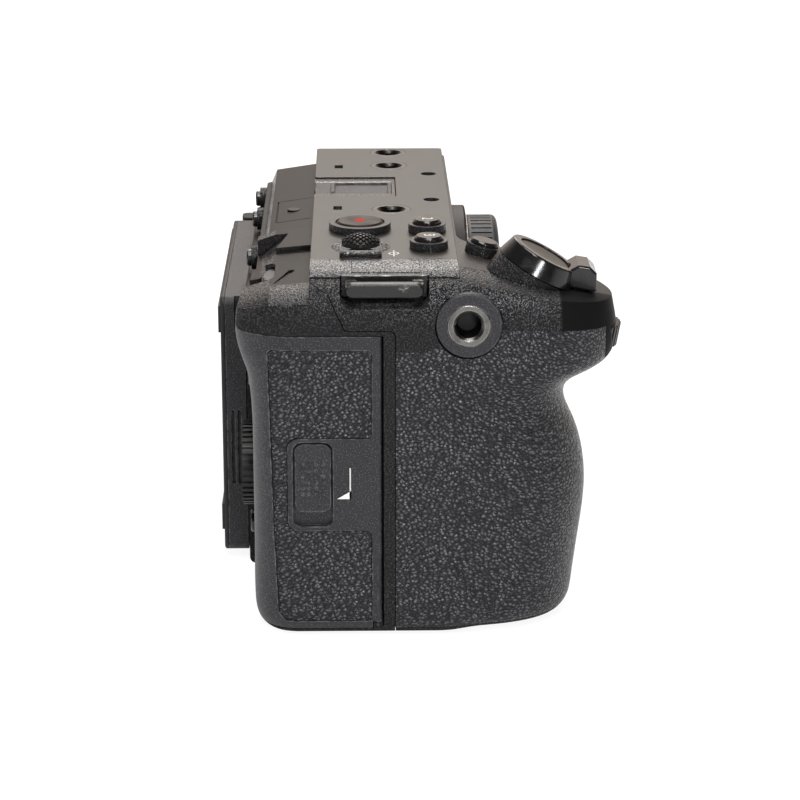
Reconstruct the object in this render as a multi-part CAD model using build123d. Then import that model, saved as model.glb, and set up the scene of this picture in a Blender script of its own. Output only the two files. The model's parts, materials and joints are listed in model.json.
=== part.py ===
from build123d import *
import os
from math import atan2, cos, degrees, pi, radians, sin

# Compact cinema camera body, millimetres, +Z up.
# The origin is the mouth of the tripod socket in the base, under the lens axis.
# The lens looks along -Y, the grip is on the -X side, the connectors on the +X side.

# Overall form
GRIP_SIDE = -86.7
PORT_SIDE = 43.0
GRIP_ROOT = -41.0
HANDLE_X = -66.0
FRONT = -9.0
REAR = 37.4
UPPER_REAR = 35.0
FLAT_REAR = 35.9
TOP = 77.8
WALL = 2.2
CORNER = 2.0
BASE_ROUND = 1.5
BEYOND = 20.0

# Clearances
SEAM_GAP = 0.15
SLIDE_GAP = 0.12
FIT = 0.06
BUTTON_GAP = 0.12
GLUE_GAP = 0.1
PLATE_GAP = 0.15

# Section table of the grip side: height, nose, rear, side inset, nose inset
GRIP_SECTIONS = [
    (0.0, -33.2, 34.8, 4.0, 3.6),
    (1.0, -33.2, 34.8, 2.0, 1.8),
    (2.8, -33.3, 34.8, 0.7, 0.6),
    (6.5, -33.5, 34.8, 0.0, 0.0),
    (17.0, -34.8, 34.8, 0.0, 0.0),
    (28.0, -35.9, 34.8, 0.0, 0.0),
    (37.0, -35.0, 34.8, 0.0, 0.0),
    (43.0, -33.0, 34.8, 0.0, 0.0),
    (47.5, -31.2, 34.9, 0.0, 0.0),
    (51.0, -31.7, 35.1, 0.0, 0.0),
    (54.0, -35.2, 35.4, 0.0, 0.0),
    (56.8, -40.2, 35.9, 0.0, 0.0),
    (60.0, -41.8, 37.0, 0.0, 0.0),
    (64.5, -41.9, 38.0, 0.0, 0.0),
    (68.5, -41.9, 38.0, 0.1, 0.7),
    (72.0, -41.9, 37.4, 0.7, 1.6),
    (74.5, -41.9, 36.6, 1.9, 2.9),
    (76.4, -41.9, 36.0, 4.6, 4.6),
    (77.2, -41.9, 35.7, 8.8, 6.2),
    (77.8, -41.9, 35.4, 17.0, 8.0),
]
SIDE_FRONT = -3.0
SIDE_REAR = 25.0
INNER_X = -51.6
SHOULDER_X = -48.5

# Seam between the front and rear halves, seen from the side
SEAM = 5.0
SEAM_RISE = 67.2
SEAM_STEP = 15.3
SEAM_CREST = (18.8, 74.5)
SEAM_END = 76.4
SEAM_ROUND = 1.2

# Top plate
PLATE_FRONT = -8.3
PLATE_NEAR = -80.5
PLATE_REAR = 22.6
PLATE_THICKNESS = 3.0
PLATE_BOTTOM = TOP - PLATE_THICKNESS
PLATE_PROUD = 0.35
PLATE_CORNER = 0.8
DECK_SLOPE = 0.2
DECK_DROP = 1.5

# Rear deck behind the top plate, as heights over the depth
STEP_X = -24.0
LEDGE = 69.4
DECK_START = 74.0
NEAR_DECK = [(PLATE_REAR, DECK_START), (31.0, 73.2), (39.0, 70.4), (50.0, 69.0)]
THUMB_DECK = [(PLATE_REAR, 72.9), (31.0, 72.1), (39.0, 69.6), (50.0, 68.4)]
PORT_DECK = [(PLATE_REAR, DECK_START), (32.6, 72.5), (33.9, LEDGE), (50.0, LEDGE)]
RIDGE_X = -40.5
DIAL_POCKET = [(-28.0, 28.2), (-35.0, 29.4), (-43.0, 31.2), (-50.0, 32.8), (-50.0, 46.0), (-28.0, 46.0)]
DIAL_FLOOR = [(28.0, 73.3), (34.0, 68.6), (46.0, 66.5), (46.0, 90.0), (28.0, 90.0)]

# Threads, 1/4-20: wall radius at the thread's minor diameter
THREAD_RADIUS = 2.575
THREAD_DEPTH = 6.0
THREAD_MOUTH = 0.7
INSERT_RADIUS = 4.3
TOP_INSERT_LENGTH = 7.0
SIDE_INSERT_LENGTH = 7.4
BEZEL_RADIUS = 6.85
BEZEL_DEPTH = 1.3
BEZEL_EDGE = 0.25

# Push buttons
PRESS = 0.7
PRESS_SPARE = 0.5
STOP_FLANGE = 0.8
STOP_THICKNESS = 0.7
STOP_GAP = 0.3
CAP_EDGE = 0.4
SMALL_EDGE = 0.3

# Pieces on the top, places seen from above
REC_X, REC_Y = -42.0, 12.1
REC_RADIUS = 5.25
REC_COLLAR = 6.75
REC_HEIGHT = 1.7
REC_PROUD = 0.3
REC_EDGE = 0.55
KEY_RADIUS = 3.0
KEY_COLLAR = 4.1
KEY_HEIGHT = 1.9
KEY_PROUD = 1.0
KEY_Y = -2.5
KEY_PLACES = {"button_2": (-44.3, KEY_Y), "button_3": (-59.3, KEY_Y)}
FIRST_X, FIRST_Y = -54.0, -14.0
FIRST_TILT = 15.0
FIRST_WALL = 3.0
FIRST_HEIGHT = 2.2
FIRST_COLLAR = 3.8
MIC_X, MIC_Y = 13.6, -4.3
MIC_RADIUS = 1.8
MIC_DEPTH = 1.2
SLOT_X, SLOT_Y = 21.7, 17.1
SLOT_SIZE = (3.5, 1.9)
SLOT_DEPTH = 1.8
TOP_SOCKET_X = (-23.0, 23.0, 38.0)

# Joystick and its gimbal
STICK_X, STICK_Y = -58.0, 12.0
STICK_RADIUS = 4.1
STICK_DOME = 1.5
STICK_CAP = (0.55, 3.0)
STICK_EDGE = 0.7
STICK_PITCH = 0.95
STICK_GROOVE = 0.4
STICK_STEM = 1.5
STICK_HOLE = 2.9
STICK_PIVOT = 73.0
DISH_RADIUS = 6.3
DISH_DEPTH = 1.2
CRADLE_OUTER = 3.9
CRADLE_INNER = 2.9
CRADLE_HEIGHT = 1.8
CRADLE_PIN = 0.8
STICK_PIN = 0.6
POST_X = 5.6
POST_SIZE = (1.8, 3.0)
GUARD_X = -66.6
GUARD_SIZE = (2.0, 8.9)
GUARD_HEIGHT = 1.3
GUARD_EDGE = 0.4

# Strap lugs, the near one under the raised pad of the top plate
LUG_BACK = -79.8
LUG_FRONT = -1.9
LUG_REAR = 16.3
LUG_BOTTOM = 71.6
LUG_ROUND = 2.6
LUG_BAR_BOTTOM = 73.7
LUG_BAR_TOP = 76.8
LUG_EDGE = 0.5
LUG_BAR = (2.4, 16.0)
LUG_REACH = 4.2
LUG_PLATE = (1.0, 17.6, 4.4)
LUG_POST = (2.6, 2.2, 2.4)
LUG_POST_Y = 6.9
PAD_X = (-78.2, -68.4)
PAD_Y = (-0.2, 13.9)
PAD_GROOVE = 0.5
PAD_GROOVE_DEPTH = 0.9
PAD_FALL = 0.3
PORT_LUG_Y = 19.0
PORT_LUG_Z = 63.5
PORT_LUG_DEPTH = 6.4
PORT_LUG_ROOM = 3.6

# Accessory shoe
SHOE_FRONT = 3.8
SHOE_OUTER = 10.0
SHOE_SLOT = 9.35
SHOE_THROAT = 6.3
SHOE_FLOOR = 74.1
SHOE_LIP = 76.2
SHOE_BASE = 0.8
SHOE_TOP = TOP - 0.3
SHOE_PAD = 1.6
SHOE_WALL = 2.2
COVER_RIM = 0.8
COVER_SINK = 0.5
COVER_RIDGE = 0.8
COVER_TAIL = 4.6

# Side sockets
GRIP_SOCKET_Y, GRIP_SOCKET_Z = -10.0, 68.2
GRIP_SOCKET_SINK = 0.3
PORT_SOCKET_Y, PORT_SOCKET_Z = -0.5, 63.0

# Leatherette on the grip
LEATHER = 0.9
LEATHER_BOTTOM = 1.9
LEATHER_ROOT = -44.5
LEATHER_TOP = [(-1.2, 62.7), (-4.2, 63.9), (-10.0, 65.0), (-15.8, 67.2), (-30.0, 66.1), (-39.0, 65.0),
               (-39.0, 57.6)]

# Battery, its bay and door
BATTERY_X = -65.65
BATTERY_Y = 1.85
BATTERY_SIZE = (22.7, 38.7, 51.7)
BATTERY_CORNER = 3.5
BATTERY_BASE = 3.5
BAY_WALL = 1.0
BAY_GAP = 0.2
BAY_ROOF = 2.0
BATTERY_DOOR = 2.2
BATTERY_DOOR_INSET = 1.7
BATTERY_DOOR_X = (-80.8, -50.6)
BATTERY_DOOR_FRONT = -22.0
BATTERY_HINGE_Y = 23.6
BATTERY_HINGE_Z = 1.1
BATTERY_PIN = 0.5
BATTERY_PIN_REACH = 1.2
LATCH_X = (-72.0, -58.0)
LATCH_Y = (-19.9, -13.9)
LATCH_SINK = 1.0
LATCH_TRAVEL = 4.0
LATCH_STEM_PLACE = 2.2
LATCH_STEM = (5.0, 2.6)
LATCH_HOOK = (7.4, 5.0, 0.74)
LATCH_RIBS = 4

# The card door on the grip side
DOOR_THICKNESS = 2.2
DOOR_LEATHER = 0.7
DOOR_LEATHER_SINK = 0.15
DOOR_FRONT = 7.6
DOOR_TOP = 66.1
DOOR_BOTTOM = 1.8
DOOR_WRAP = -77.0
DOOR_GAP = 0.15
DOOR_PIN = 0.5
DOOR_PIN_REACH = 1.2
BARREL_RADIUS = DOOR_THICKNESS / 2 - 0.04
BARREL_BOTTOM = 3.6
HEEL_REAR = 9.8
DOOR_PIVOT_X = GRIP_SIDE + DOOR_THICKNESS / 2
DOOR_PIVOT_Y = DOOR_FRONT + DOOR_THICKNESS / 2
PANEL_FRONT = 9.9
PANEL_GAP = 0.15
PANEL_EDGE = [(31.2, 63.1), (31.2, 58.0), (30.4, 24.0), (29.6, 5.5), (28.0, 3.7)]
PANEL_NOTCH = (24.0, 44.2)
PANEL_STRIP = 27.4
PANEL_ROUND = 0.9
NOTCH_ROUND = 2.2
CATCH_DEPTH = 1.2
CATCH_Y = (18.4, 25.9)
CATCH_Z = (28.2, 43.0)
CATCH_TRAVEL = 3.0
CATCH_MARGIN = 0.4
CATCH_ROUND = 1.75
CATCH_SINK = 0.25
CATCH_DOTS = (4, 6)
DOT_PITCH = (1.4, 1.3)
DOT_RADIUS = 0.36
DOT_HEIGHT = 0.22
DOT_TOP = 38.6
CATCH_STEM = (3.1, 31.0, 40.0)
CATCH_PLATE = (5.2, 30.0, 41.0)
CARD_X = (-78.4, -47.0)
CARD_Y = (23.3, 31.2)
CARD_Z = (12.0, 54.0)
CARD_SLOTS = (1.0, 4.7)
CARD_THICKNESS = 2.3
CARD_END = 8.0

# Rear face
WHEEL_X, WHEEL_Z = -60.0, 30.3
WHEEL_FLOOR = 34.6
WHEEL_RADIUS = 9.2
WHEEL_BORE = 4.6
WHEEL_TOP = 3.0
WHEEL_LIFT = 0.15
WHEEL_TEETH = 40
CENTRE_CAP = (1.9, 1.0)
CENTRE_STEM = 3.0
REAR_KEYS = {"menu_button": -21.4, "playback_button": 16.2, "custom_button": 38.0}
REAR_KEY_Z = 66.3
REAR_KEY_RADIUS = 1.9
REAR_KEY_PROUD = 2.8
REAR_KEY_COLLAR = 2.7
REAR_KEY_COLLAR_HEIGHT = 1.7
REAR_KEY_WALL = 2.6
THUMB_KEYS = {"function_button": (-50.5, 47.5), "delete_button": (-50.5, 13.5)}
THUMB_KEY_RADIUS = 2.7
THUMB_KEY_PROUD = 1.1
THUMB_KEY_SINK = 0.4
SWITCH_X, SWITCH_Z = -55.5, 57.2
SWITCH_FLOOR = 34.9
SWITCH_TRAVEL = 5.0
SWITCH_KNOB = (6.4, 3.2, 3.0)
SWITCH_STEM = (2.4, 2.0, 2.4)

# Dials
DIAL_X, DIAL_Y, DIAL_Z = -56.0, 23.6, 67.1
DIAL_RADIUS = 9.6
DIAL_HEIGHT = 4.0
DIAL_TEETH = 44
DIAL_SHAFT = 1.2
DIAL_BORE = 0.9
DIAL_ROOM = 0.35
WINDOW_HALF = 6.8
WINDOW_FRONT = 30.4
WINDOW_SINK = 0.25
WINDOW_ROUND = 2.0
GROOVE_PLACE = (-62.0, 28.2)
GROOVE_PLAN = (11.0, 1.3)
GROOVE_DEPTH = 0.9
GROOVE_TURN = -17.0
SHAFT_REACH = 1.6
FRONT_DIAL_Y, FRONT_DIAL_Z = -32.6, 62.9
FRONT_DIAL_RADIUS = 10.2
FRONT_DIAL_HEIGHT = 4.6
FRONT_DIAL_TILT = 10.0
FRONT_DIAL_TEETH = 46
KNURL_DEPTH = 0.4

# Zoom lever and shutter button, in the tilted frame of the shutter
SHUTTER_TILT = 29.0
SHUTTER_Y = -26.7
SHUTTER_Z = 78.1
RIM_RADIUS = 7.55
RIM_TOP = 0.35
RIM_ROUND = 0.5
RING_BASE_RADIUS = 8.8
RING_DEPTH = 3.6
RING_LIFT = 0.15
SHUTTER_RADIUS = 5.75
SHUTTER_CAP = 1.2
SHUTTER_DISH = (4.2, 0.25)
SHUTTER_STEM = 1.8
SHUTTER_STEM_END = 8.0
POST_RADIUS = 4.9
CAP_WELL = 2.1
COLLAR_DEPTH = 11.0
COLLAR_RADIUS = 9.5
TAB_WIDTH = 8.8
TAB_OUTLINE = [(-30.8, 73.4), (-31.6, 75.6), (-33.6, 76.7), (-36.0, 76.3), (-37.4, 74.9), (-37.4, 71.2),
               (-36.8, 70.9), (-31.6, 72.0)]

# Lens mount, in the frame of the flange with local Z forwards
LENS_HEIGHT = 39.5
SENSOR_FACE = 5.0
FLANGE_DISTANCE = 18.0
FLANGE = SENSOR_FACE - FLANGE_DISTANCE
BOSS_RADIUS = 33.0
BOSS_ROUND = 0.5
THROAT_RADIUS = 23.05
THROAT_DEPTH = 11.0
RING_RADIUS = 31.2
RING_THICKNESS = 1.1
RING_PROUD = 0.4
CLAW_THICKNESS = 1.4
CLAW_INNER = 24.9
CLAW_SPAN = 60
CLAW_ROOM = 4.6
RING_SCREW_RADIUS = 28.0
RING_SCREW_TURNS = (25, 115, 205, 295)
RING_SCREW_LENGTH = 3.6
CAP_RADIUS = 30.7
CAP_DEPTH = 7.1
CAP_GAP = 0.15
CAP_ROUND = 1.3
CAP_FACE = 2.2
CAP_FACE_RADIUS = 24.0
CAP_SKIRT = (20.8, 3.2)
CAP_HOLLOW = 25.6
CAP_RIBS = 84
CAP_RIB_GROOVE = (0.6, 0.25)
TAB_RADIUS = 24.4
TAB_SPAN = 48
TAB_THICKNESS = 1.3
RELEASE_X, RELEASE_Z = 34.5, 27.0
RELEASE_RADIUS = 3.6
RELEASE_PROUD = 2.4
RELEASE_EDGE = 0.6
PIN_DISTANCE = 28.0
PIN_TURN = degrees(atan2(RELEASE_Z - LENS_HEIGHT, RELEASE_X))
LOCK_PIN_RADIUS = 1.0
LOCK_PIN_LENGTH = 8.4
LOCK_PIN_PROUD = 1.1
CONTACT_RING = (19.6, 56, 1.8)
CONTACT_FLOOR = 6.6
CONTACTS = 10
CONTACT_STEP = 5.0

# Monitor
MONITOR_NEAR = -39.0
MONITOR_FAR = 36.3
MONITOR_INNER = 37.7
MONITOR_OUTER = 43.2
MONITOR_BOTTOM = 1.8
MONITOR_TOP = 61.5
MONITOR_SHELF = 1.7
MONITOR_ROUND = 2.0
NOTCH_SIZE = (2.2, 2.4, 54.0)
COVER_SHELL = 1.0
COVER_EDGE = 0.35
HINGE_X = 40.2
HINGE_Y = 38.9
BLOCK_BOTTOM = 21.0
BLOCK_TOP = 49.0
BLOCK_NEAR = 36.6
BLOCK_ROUND = 1.1
BLOCK_GAP = 0.25
HINGE_PIN = 1.3
HINGE_PIN_REACH = 2.2
LUG_NEAR = 37.2
LUG_NOSE = 2.4
LUG_NOSE_ROUND = 1.6
NOTCH_FRONT = 33.0
SWIVEL_Z = 35.0
SWIVEL_RADIUS = 1.6
SWIVEL_LENGTH = 2.0
SCREEN_RECESS = 0.8
SCREEN_NEAR = 3.4
SCREEN_FAR = 3.7
SCREEN_Z = (6.0, 57.5)
FINGER_GROOVES = (39.0, 40.4)
GROOVE_SIZE = (0.6, 0.7)
GROOVE_Z = (18.0, 35.5)
SILL_Z = (7.0, 53.5)
SILL_HEIGHT = 6.0
SILL_PROUD = 0.5

# Port side
PANEL_THICKNESS = 2.1
PANEL_Y = (-4.6, 31.0)
PANEL_Z = (5.0, 55.6)
PANEL_CORNER = 2.0
PANEL_X = PORT_SIDE - PANEL_THICKNESS
COVER_THICKNESS = 1.3
COVER_RADIUS = COVER_THICKNESS / 2
COVER_SEAT = 0.05
COVER_X = PORT_SIDE - COVER_RADIUS - COVER_SEAT
COVER_Y = (-2.6, 12.0)
COVER_PIN = 0.35
COVER_PIN_REACH = 0.8
COVER_GAP = 0.12
COVER_LIP = (1.2, 8.0)
AUDIO_Z = (36.6, 53.2)
DATA_Z = (8.0, 34.6)
AUDIO_JACKS = (49.0, 40.8)
JACK_Y = 4.7
JACK_RADIUS = 3.0
JACK_BORE = 1.8
PORT_BOARD = (31.6, 33.0)
PORT_BOARD_Y = (-2.0, 14.0)
PORT_BOARD_Z = (8.0, 56.0)
PORT_MOUTH = 41.2
PORT_SHELL = 0.6
VIDEO_PORT = (-1.7, 11.1, 24.6, 31.2)
DATA_PORTS = [(-0.2, 9.6, 17.0, 20.9), (-0.2, 9.6, 10.6, 14.5)]
VENT_Y = (15.2, 28.8)
VENT_PITCH = 3.0
VENT_WIDTH = 1.4
VENT_START = 4.0

# Base
BASE_THICKNESS = 2.0
BASE_X = (-46.0, 38.0)
BASE_Y = (-5.6, 31.0)
BASE_CORNER = 3.0
FLOOR = 4.4
TRIPOD_RADIUS = 6.5
TRIPOD_LENGTH = 7.6
SCREW_INSET = 3.3
SCREW_HEAD = 1.9
SCREW_HEAD_HEIGHT = 0.9
SCREW_SHANK = 0.9
SCREW_CROSS = (2.2, 0.5, 0.8)
SCREW_PLAY = 0.1
BASE_SCREW_LENGTH = 4.2

# Inside
WALL_FRONT = 2.5
CAVITY_X = (-38.5, 40.8)
CAVITY_Y = (FRONT + WALL_FRONT, 34.6)
CAVITY_TOP = 61.0
UPPER_CAVITY_TOP = 72.0
STICK_CAVITY = (-70.5, 40.2, -6.9, 19.6, 60.5)
SENSOR_SIZE = (37.0, 25.2, 1.4)
SENSOR_FRAME = 2.0
SENSOR_GLASS = 0.8
CARRIAGE_SIZE = (31.2, 22.0, 1.8)
CARRIAGE_POSTS = (28.0, 18.0)
CARRIAGE_POST = 1.8
BOARD_Y = 17.0
BOARD_X = (-36.0, 31.0)
BOARD_Z = (8.0, 58.0)
BOARD_THICKNESS = 1.6
BOARD_INSET = 3.0
BOARD_POST = 2.2
BOARD_HOLE = 0.9
CHIPS = [(-26.0, -6.0, 20.0, 40.0, 1.4), (-2.0, 12.0, 24.0, 38.0, 1.2)]
SINK_X = (-28.0, 34.0)
SINK_Z = (14.0, 52.0)
SINK_PLATE = 0.9
SINK_FINS = 9
FIN_PITCH = 3.0
FIN_SIZE = (1.0, 5.5)
FAN_X, FAN_Z = 18.0, 33.0
FAN_HALF = 17.0
FAN_DEPTH = 7.0
FAN_WELL = 14.5
FAN_DUCT = 11.0
FAN_AXLE = 1.2
FAN_HUB = 5.0
FAN_HUB_HEIGHT = 4.6
FAN_BLADES = 7
BLADE_SIZE = (9.4, 0.9, 4.0)
BLADE_TURN = 22
LAMP_X, LAMP_Y = -4.6, 27.4
LAMP_TOP = 73.55
LAMP_RADIUS = 1.5
LAMP_HEIGHT = 1.1
LAMP_PANEL = (-15.0, 6.0, 23.4, 31.4)
LAMP_SEAM = 0.3


def box(x0, x1, y0, y1, z0, z1):
    """A block between two corners."""
    size = (x1 - x0, y1 - y0, z1 - z0)
    centre = ((x0 + x1) / 2, (y0 + y1) / 2, (z0 + z1) / 2)
    return Pos(*centre) * Box(*size)


def rod(radius, height, start=0.0):
    """A cylinder on the local Z axis, from start upwards."""
    return Pos(0, 0, start + height / 2) * Cylinder(radius, height)


def side_profile(points, x0, x1):
    """A solid with an outline in the YZ plane, from x0 to x1."""
    outline = make_face(Polyline(*[(x0, y, z) for y, z in points], close=True))
    return extrude(outline, x1 - x0, dir=(1, 0, 0))


def plan_profile(points, z0, z1):
    """A solid with an outline seen from above, from z0 to z1."""
    outline = make_face(Polyline(*[(x, y, z0) for x, y in points], close=True))
    return extrude(outline, z1 - z0, dir=(0, 0, 1))


def rounded_bar(length, width, height, radius, start=0.0):
    """A bar with rounded vertical edges, on the local Z axis, from start upwards."""
    return extrude(Pos(0, 0, start) * RectangleRounded(length, width, radius), height)


def facing(x, y, z, direction, x_dir=(1, 0, 0)):
    """A frame whose local Z points along direction."""
    return Plane(origin=(x, y, z), x_dir=x_dir, z_dir=direction).location


def leaning(angle):
    """The direction of an axis that leans forwards from upright by angle degrees."""
    return (0, -sin(radians(angle)), cos(radians(angle)))


def deck_height(y):
    """The sloping deck in front of the top plate."""
    return TOP - DECK_DROP + DECK_SLOPE * (y - PLATE_FRONT)


def sphere_radius(half_width, rise):
    """The radius of a sphere whose cap has this half width and rise."""
    return (half_width ** 2 + rise ** 2) / (2 * rise)


# Frames of the pieces, local Z pointing out of the body
SHUTTER = facing(HANDLE_X, SHUTTER_Y, SHUTTER_Z, leaning(SHUTTER_TILT))
LENS = facing(0, FLANGE, LENS_HEIGHT, (0, -1, 0))
FIRST = facing(FIRST_X, FIRST_Y, deck_height(FIRST_Y), leaning(FIRST_TILT))
REC_PLACE = Pos(REC_X, REC_Y, TOP)
GRIP_SOCKET = facing(GRIP_SIDE + GRIP_SOCKET_SINK, GRIP_SOCKET_Y, GRIP_SOCKET_Z, (-1, 0, 0), (0, 1, 0))
PORT_SOCKET = facing(PORT_SIDE, PORT_SOCKET_Y, PORT_SOCKET_Z, (1, 0, 0), (0, 1, 0))
FRONT_DIAL = facing(HANDLE_X, FRONT_DIAL_Y, FRONT_DIAL_Z, leaning(FRONT_DIAL_TILT))
WHEEL = facing(WHEEL_X, WHEEL_FLOOR, WHEEL_Z, (0, 1, 0))
RELEASE = facing(RELEASE_X, FRONT, RELEASE_Z, (0, -1, 0))
DOOR_HINGE = Pos(DOOR_PIVOT_X, DOOR_PIVOT_Y, 0)
PIN_PLACE = LENS * Rot(0, 0, PIN_TURN) * Pos(PIN_DISTANCE, 0, 0)
RING_SCREWS = [LENS * Rot(0, 0, turn) * Pos(RING_SCREW_RADIUS, 0, 0) for turn in RING_SCREW_TURNS]
BASE_SCREWS = [
    Pos(x, y, 0) for x in (BASE_X[0] + SCREW_INSET, BASE_X[1] - SCREW_INSET)
    for y in (BASE_Y[0] + SCREW_INSET, BASE_Y[1] - SCREW_INSET)
]
BOARD_POSTS = [
    (x, z) for x in (BOARD_X[0] + BOARD_INSET, BOARD_X[1] - BOARD_INSET)
    for z in (BOARD_Z[0] + BOARD_INSET, BOARD_Z[1] - BOARD_INSET)
]


# Forms shared by the pieces
def grip_section(height, nose, rear, side_in, nose_in, shrink):
    """One level of the grip side, drawn in by shrink on its outer side."""
    side = GRIP_SIDE + side_in + shrink
    tip = nose + nose_in + shrink
    back = rear - 0.7 * side_in - shrink
    flat = FLAT_REAR - shrink
    root = (GRIP_ROOT, FRONT + shrink)
    inner = (INNER_X - shrink, tip + 9.0)
    outer = (side + 2.2 + 0.3 * nose_in, tip + 16.0)
    heel = (side + 10.0, back)
    lines = [
        Bezier(root, (SHOULDER_X, FRONT + shrink), (inner[0] + 2.6, inner[1] + 7.0), inner),
        Bezier(inner, (inner[0] - 1.9, inner[1] - 5.2), (HANDLE_X + 6.0, tip), (HANDLE_X, tip)),
        Bezier((HANDLE_X, tip), (HANDLE_X - 9.0, tip), (outer[0] + 1.8, outer[1] - 9.0), outer),
        Bezier(outer, (outer[0] - 1.2, outer[1] + 6.0), (side, SIDE_FRONT - 6.0), (side, SIDE_FRONT)),
        Line((side, SIDE_FRONT), (side, SIDE_REAR)),
        Bezier((side, SIDE_REAR), (side, SIDE_REAR + 5.5), (side + 3.8, back), heel),
        Bezier(heel, (heel[0] + 9.0, back), (GRIP_ROOT - 14.0, flat), (GRIP_ROOT, flat)),
        Line((GRIP_ROOT, flat), root),
    ]
    return Pos(0, 0, height) * Face(Wire([line.edge() for line in lines]))


def grip_form(shrink=0.0):
    """The whole grip side as one smooth body, up to the top."""
    return loft([grip_section(*row, shrink) for row in GRIP_SECTIONS])


def skin(outer, inner, zone):
    """The layer of the grip side between two depths, inside a zone."""
    return (grip_form(outer) & zone) - grip_form(inner)


def block_form():
    """The square half of the body, behind and beside the lens."""
    lower = box(GRIP_ROOT - 1.0, PORT_SIDE, FRONT, REAR, 0, MONITOR_TOP + MONITOR_SHELF)
    upper = box(GRIP_ROOT - 1.0, PORT_SIDE, FRONT, UPPER_REAR, MONITOR_TOP, TOP)
    block = lower + upper
    block = fillet(block.edges().filter_by(Axis.Z).group_by(Axis.X)[-1], CORNER)
    return fillet(block.edges().group_by(Axis.Z)[0].filter_by(Axis.X), BASE_ROUND)


def roof_cut():
    """What lies above the housing, apart from the top plate."""
    high = TOP + BEYOND
    front = [(-60.0, deck_height(-60.0)), (PLATE_FRONT, deck_height(PLATE_FRONT)),
             (PLATE_FRONT, PLATE_BOTTOM - FIT), (PLATE_REAR, PLATE_BOTTOM - FIT)]
    ends = [(50.0, high), (-60.0, high)]
    cut = side_profile(front + NEAR_DECK + ends, PLATE_NEAR - PLATE_GAP, STEP_X)
    cut += side_profile(front + PORT_DECK + ends, STEP_X, PORT_SIDE + BEYOND)
    cut += side_profile(front[:2] + [(PLATE_FRONT, high), (-60.0, high)], GRIP_SIDE - BEYOND, STEP_X)
    behind = [(PLATE_REAR, high), (PLATE_REAR, NEAR_DECK[0][1])] + NEAR_DECK[1:] + [(50.0, high)]
    cut += side_profile(behind, GRIP_SIDE - BEYOND, STEP_X)
    low = [(PLATE_REAR, high), *THUMB_DECK, (50.0, high)]
    return cut + side_profile(low, GRIP_SIDE - BEYOND, RIDGE_X)


def dial_pocket():
    """The dropped floor beside the rear dial and the window over its rim."""
    floor = side_profile(DIAL_FLOOR, GRIP_SIDE, STEP_X)
    pocket = plan_profile(DIAL_POCKET, DIAL_FLOOR[2][1] - 5.0, TOP + BEYOND) & floor
    window = box(DIAL_X - WINDOW_HALF, DIAL_X + WINDOW_HALF, WINDOW_FRONT, REAR + BEYOND,
                 DIAL_Z - WINDOW_SINK, TOP + BEYOND)
    window = fillet(window.edges().filter_by(Axis.Z).group_by(Axis.Y)[0], WINDOW_ROUND)
    return pocket + window


def thumb_groove():
    """The shallow oval groove in the deck beside the rear dial."""
    x, y = GROOVE_PLACE
    groove = rounded_bar(*GROOVE_PLAN, 5.0, GROOVE_PLAN[1] / 2 - 0.05)
    return Pos(x, y, THUMB_DECK[0][1] - GROOVE_DEPTH) * Rot(0, 0, GROOVE_TURN) * groove


def front_zone(gap=0.0):
    """Everything in front of the seam between the two halves of the housing."""
    high = TOP + BEYOND
    outline = [
        (-60, -5), (SEAM - gap, -5), (SEAM - gap, SEAM_RISE + gap), (SEAM_STEP - gap, SEAM_RISE + gap),
        (SEAM_CREST[0] - gap, SEAM_CREST[1]), (PLATE_REAR - gap, SEAM_END), (PLATE_REAR - gap, high), (-60, high),
    ]
    zone = side_profile(outline, GRIP_SIDE - BEYOND, PORT_SIDE + BEYOND)
    corners = [edge for edge in zone.edges().filter_by(Axis.X) if abs(edge.center().Z - SEAM_RISE - gap) < 0.01]
    return fillet(corners, SEAM_ROUND)


# Top plate, its buttons, sockets and straps
def button_hole(place, radius, depth, height):
    """The bore for a push button, from depth below its place to height above."""
    return place * rod(radius + BUTTON_GAP, depth + height, -depth)


def push_button(place, radius, height, under, edge=CAP_EDGE):
    """A cap with a flange that stops it under a wall of thickness under."""
    base = -under - FIT - STOP_THICKNESS
    cap = rod(radius, height - base, base)
    cap = chamfer(cap.edges().group_by(Axis.Z)[-1], edge)
    return place * (cap + rod(radius + STOP_FLANGE, STOP_THICKNESS, base))


def flange_room(place, radius, under):
    """The room under a wall that a button's flange needs over its travel."""
    depth = STOP_THICKNESS + PRESS + PRESS_SPARE + FIT
    return place * rod(radius + STOP_FLANGE + STOP_GAP, depth, -under - depth)


def strap_room():
    """The pocket of the strap lug in the grip side shoulder."""
    room = box(GRIP_SIDE - BEYOND, LUG_BACK, LUG_FRONT, LUG_REAR, LUG_BOTTOM, TOP + BEYOND)
    return fillet(room.edges().filter_by(Axis.X).group_by(Axis.Z)[0], LUG_ROUND)


def plate_blank():
    """The top plate before its openings: flat, with a rounded near end that stands proud."""
    blank = box(PLATE_NEAR, PORT_SIDE, PLATE_FRONT, PLATE_REAR, PLATE_BOTTOM, TOP)
    blank = fillet(blank.edges().filter_by(Axis.Z).group_by(Axis.X)[-1], PLATE_CORNER)
    form = Pos(0, 0, PLATE_PROUD) * grip_form() + block_form()
    return blank & form


def strap_pad():
    """The raised pad over the strap bar, its top falling towards the near end."""
    height = TOP - PLATE_BOTTOM
    pad = box(PAD_X[0], PAD_X[1], *PAD_Y, PLATE_BOTTOM, TOP)
    fall = Rot(0, -degrees(atan2(PAD_FALL, PAD_X[1] - PAD_X[0])), 0)
    pad -= Pos(PAD_X[1], sum(PAD_Y) / 2, TOP) * fall * Pos(-BEYOND / 2, 0, height / 2) * Box(
        BEYOND, BEYOND, height)
    return pad


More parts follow.
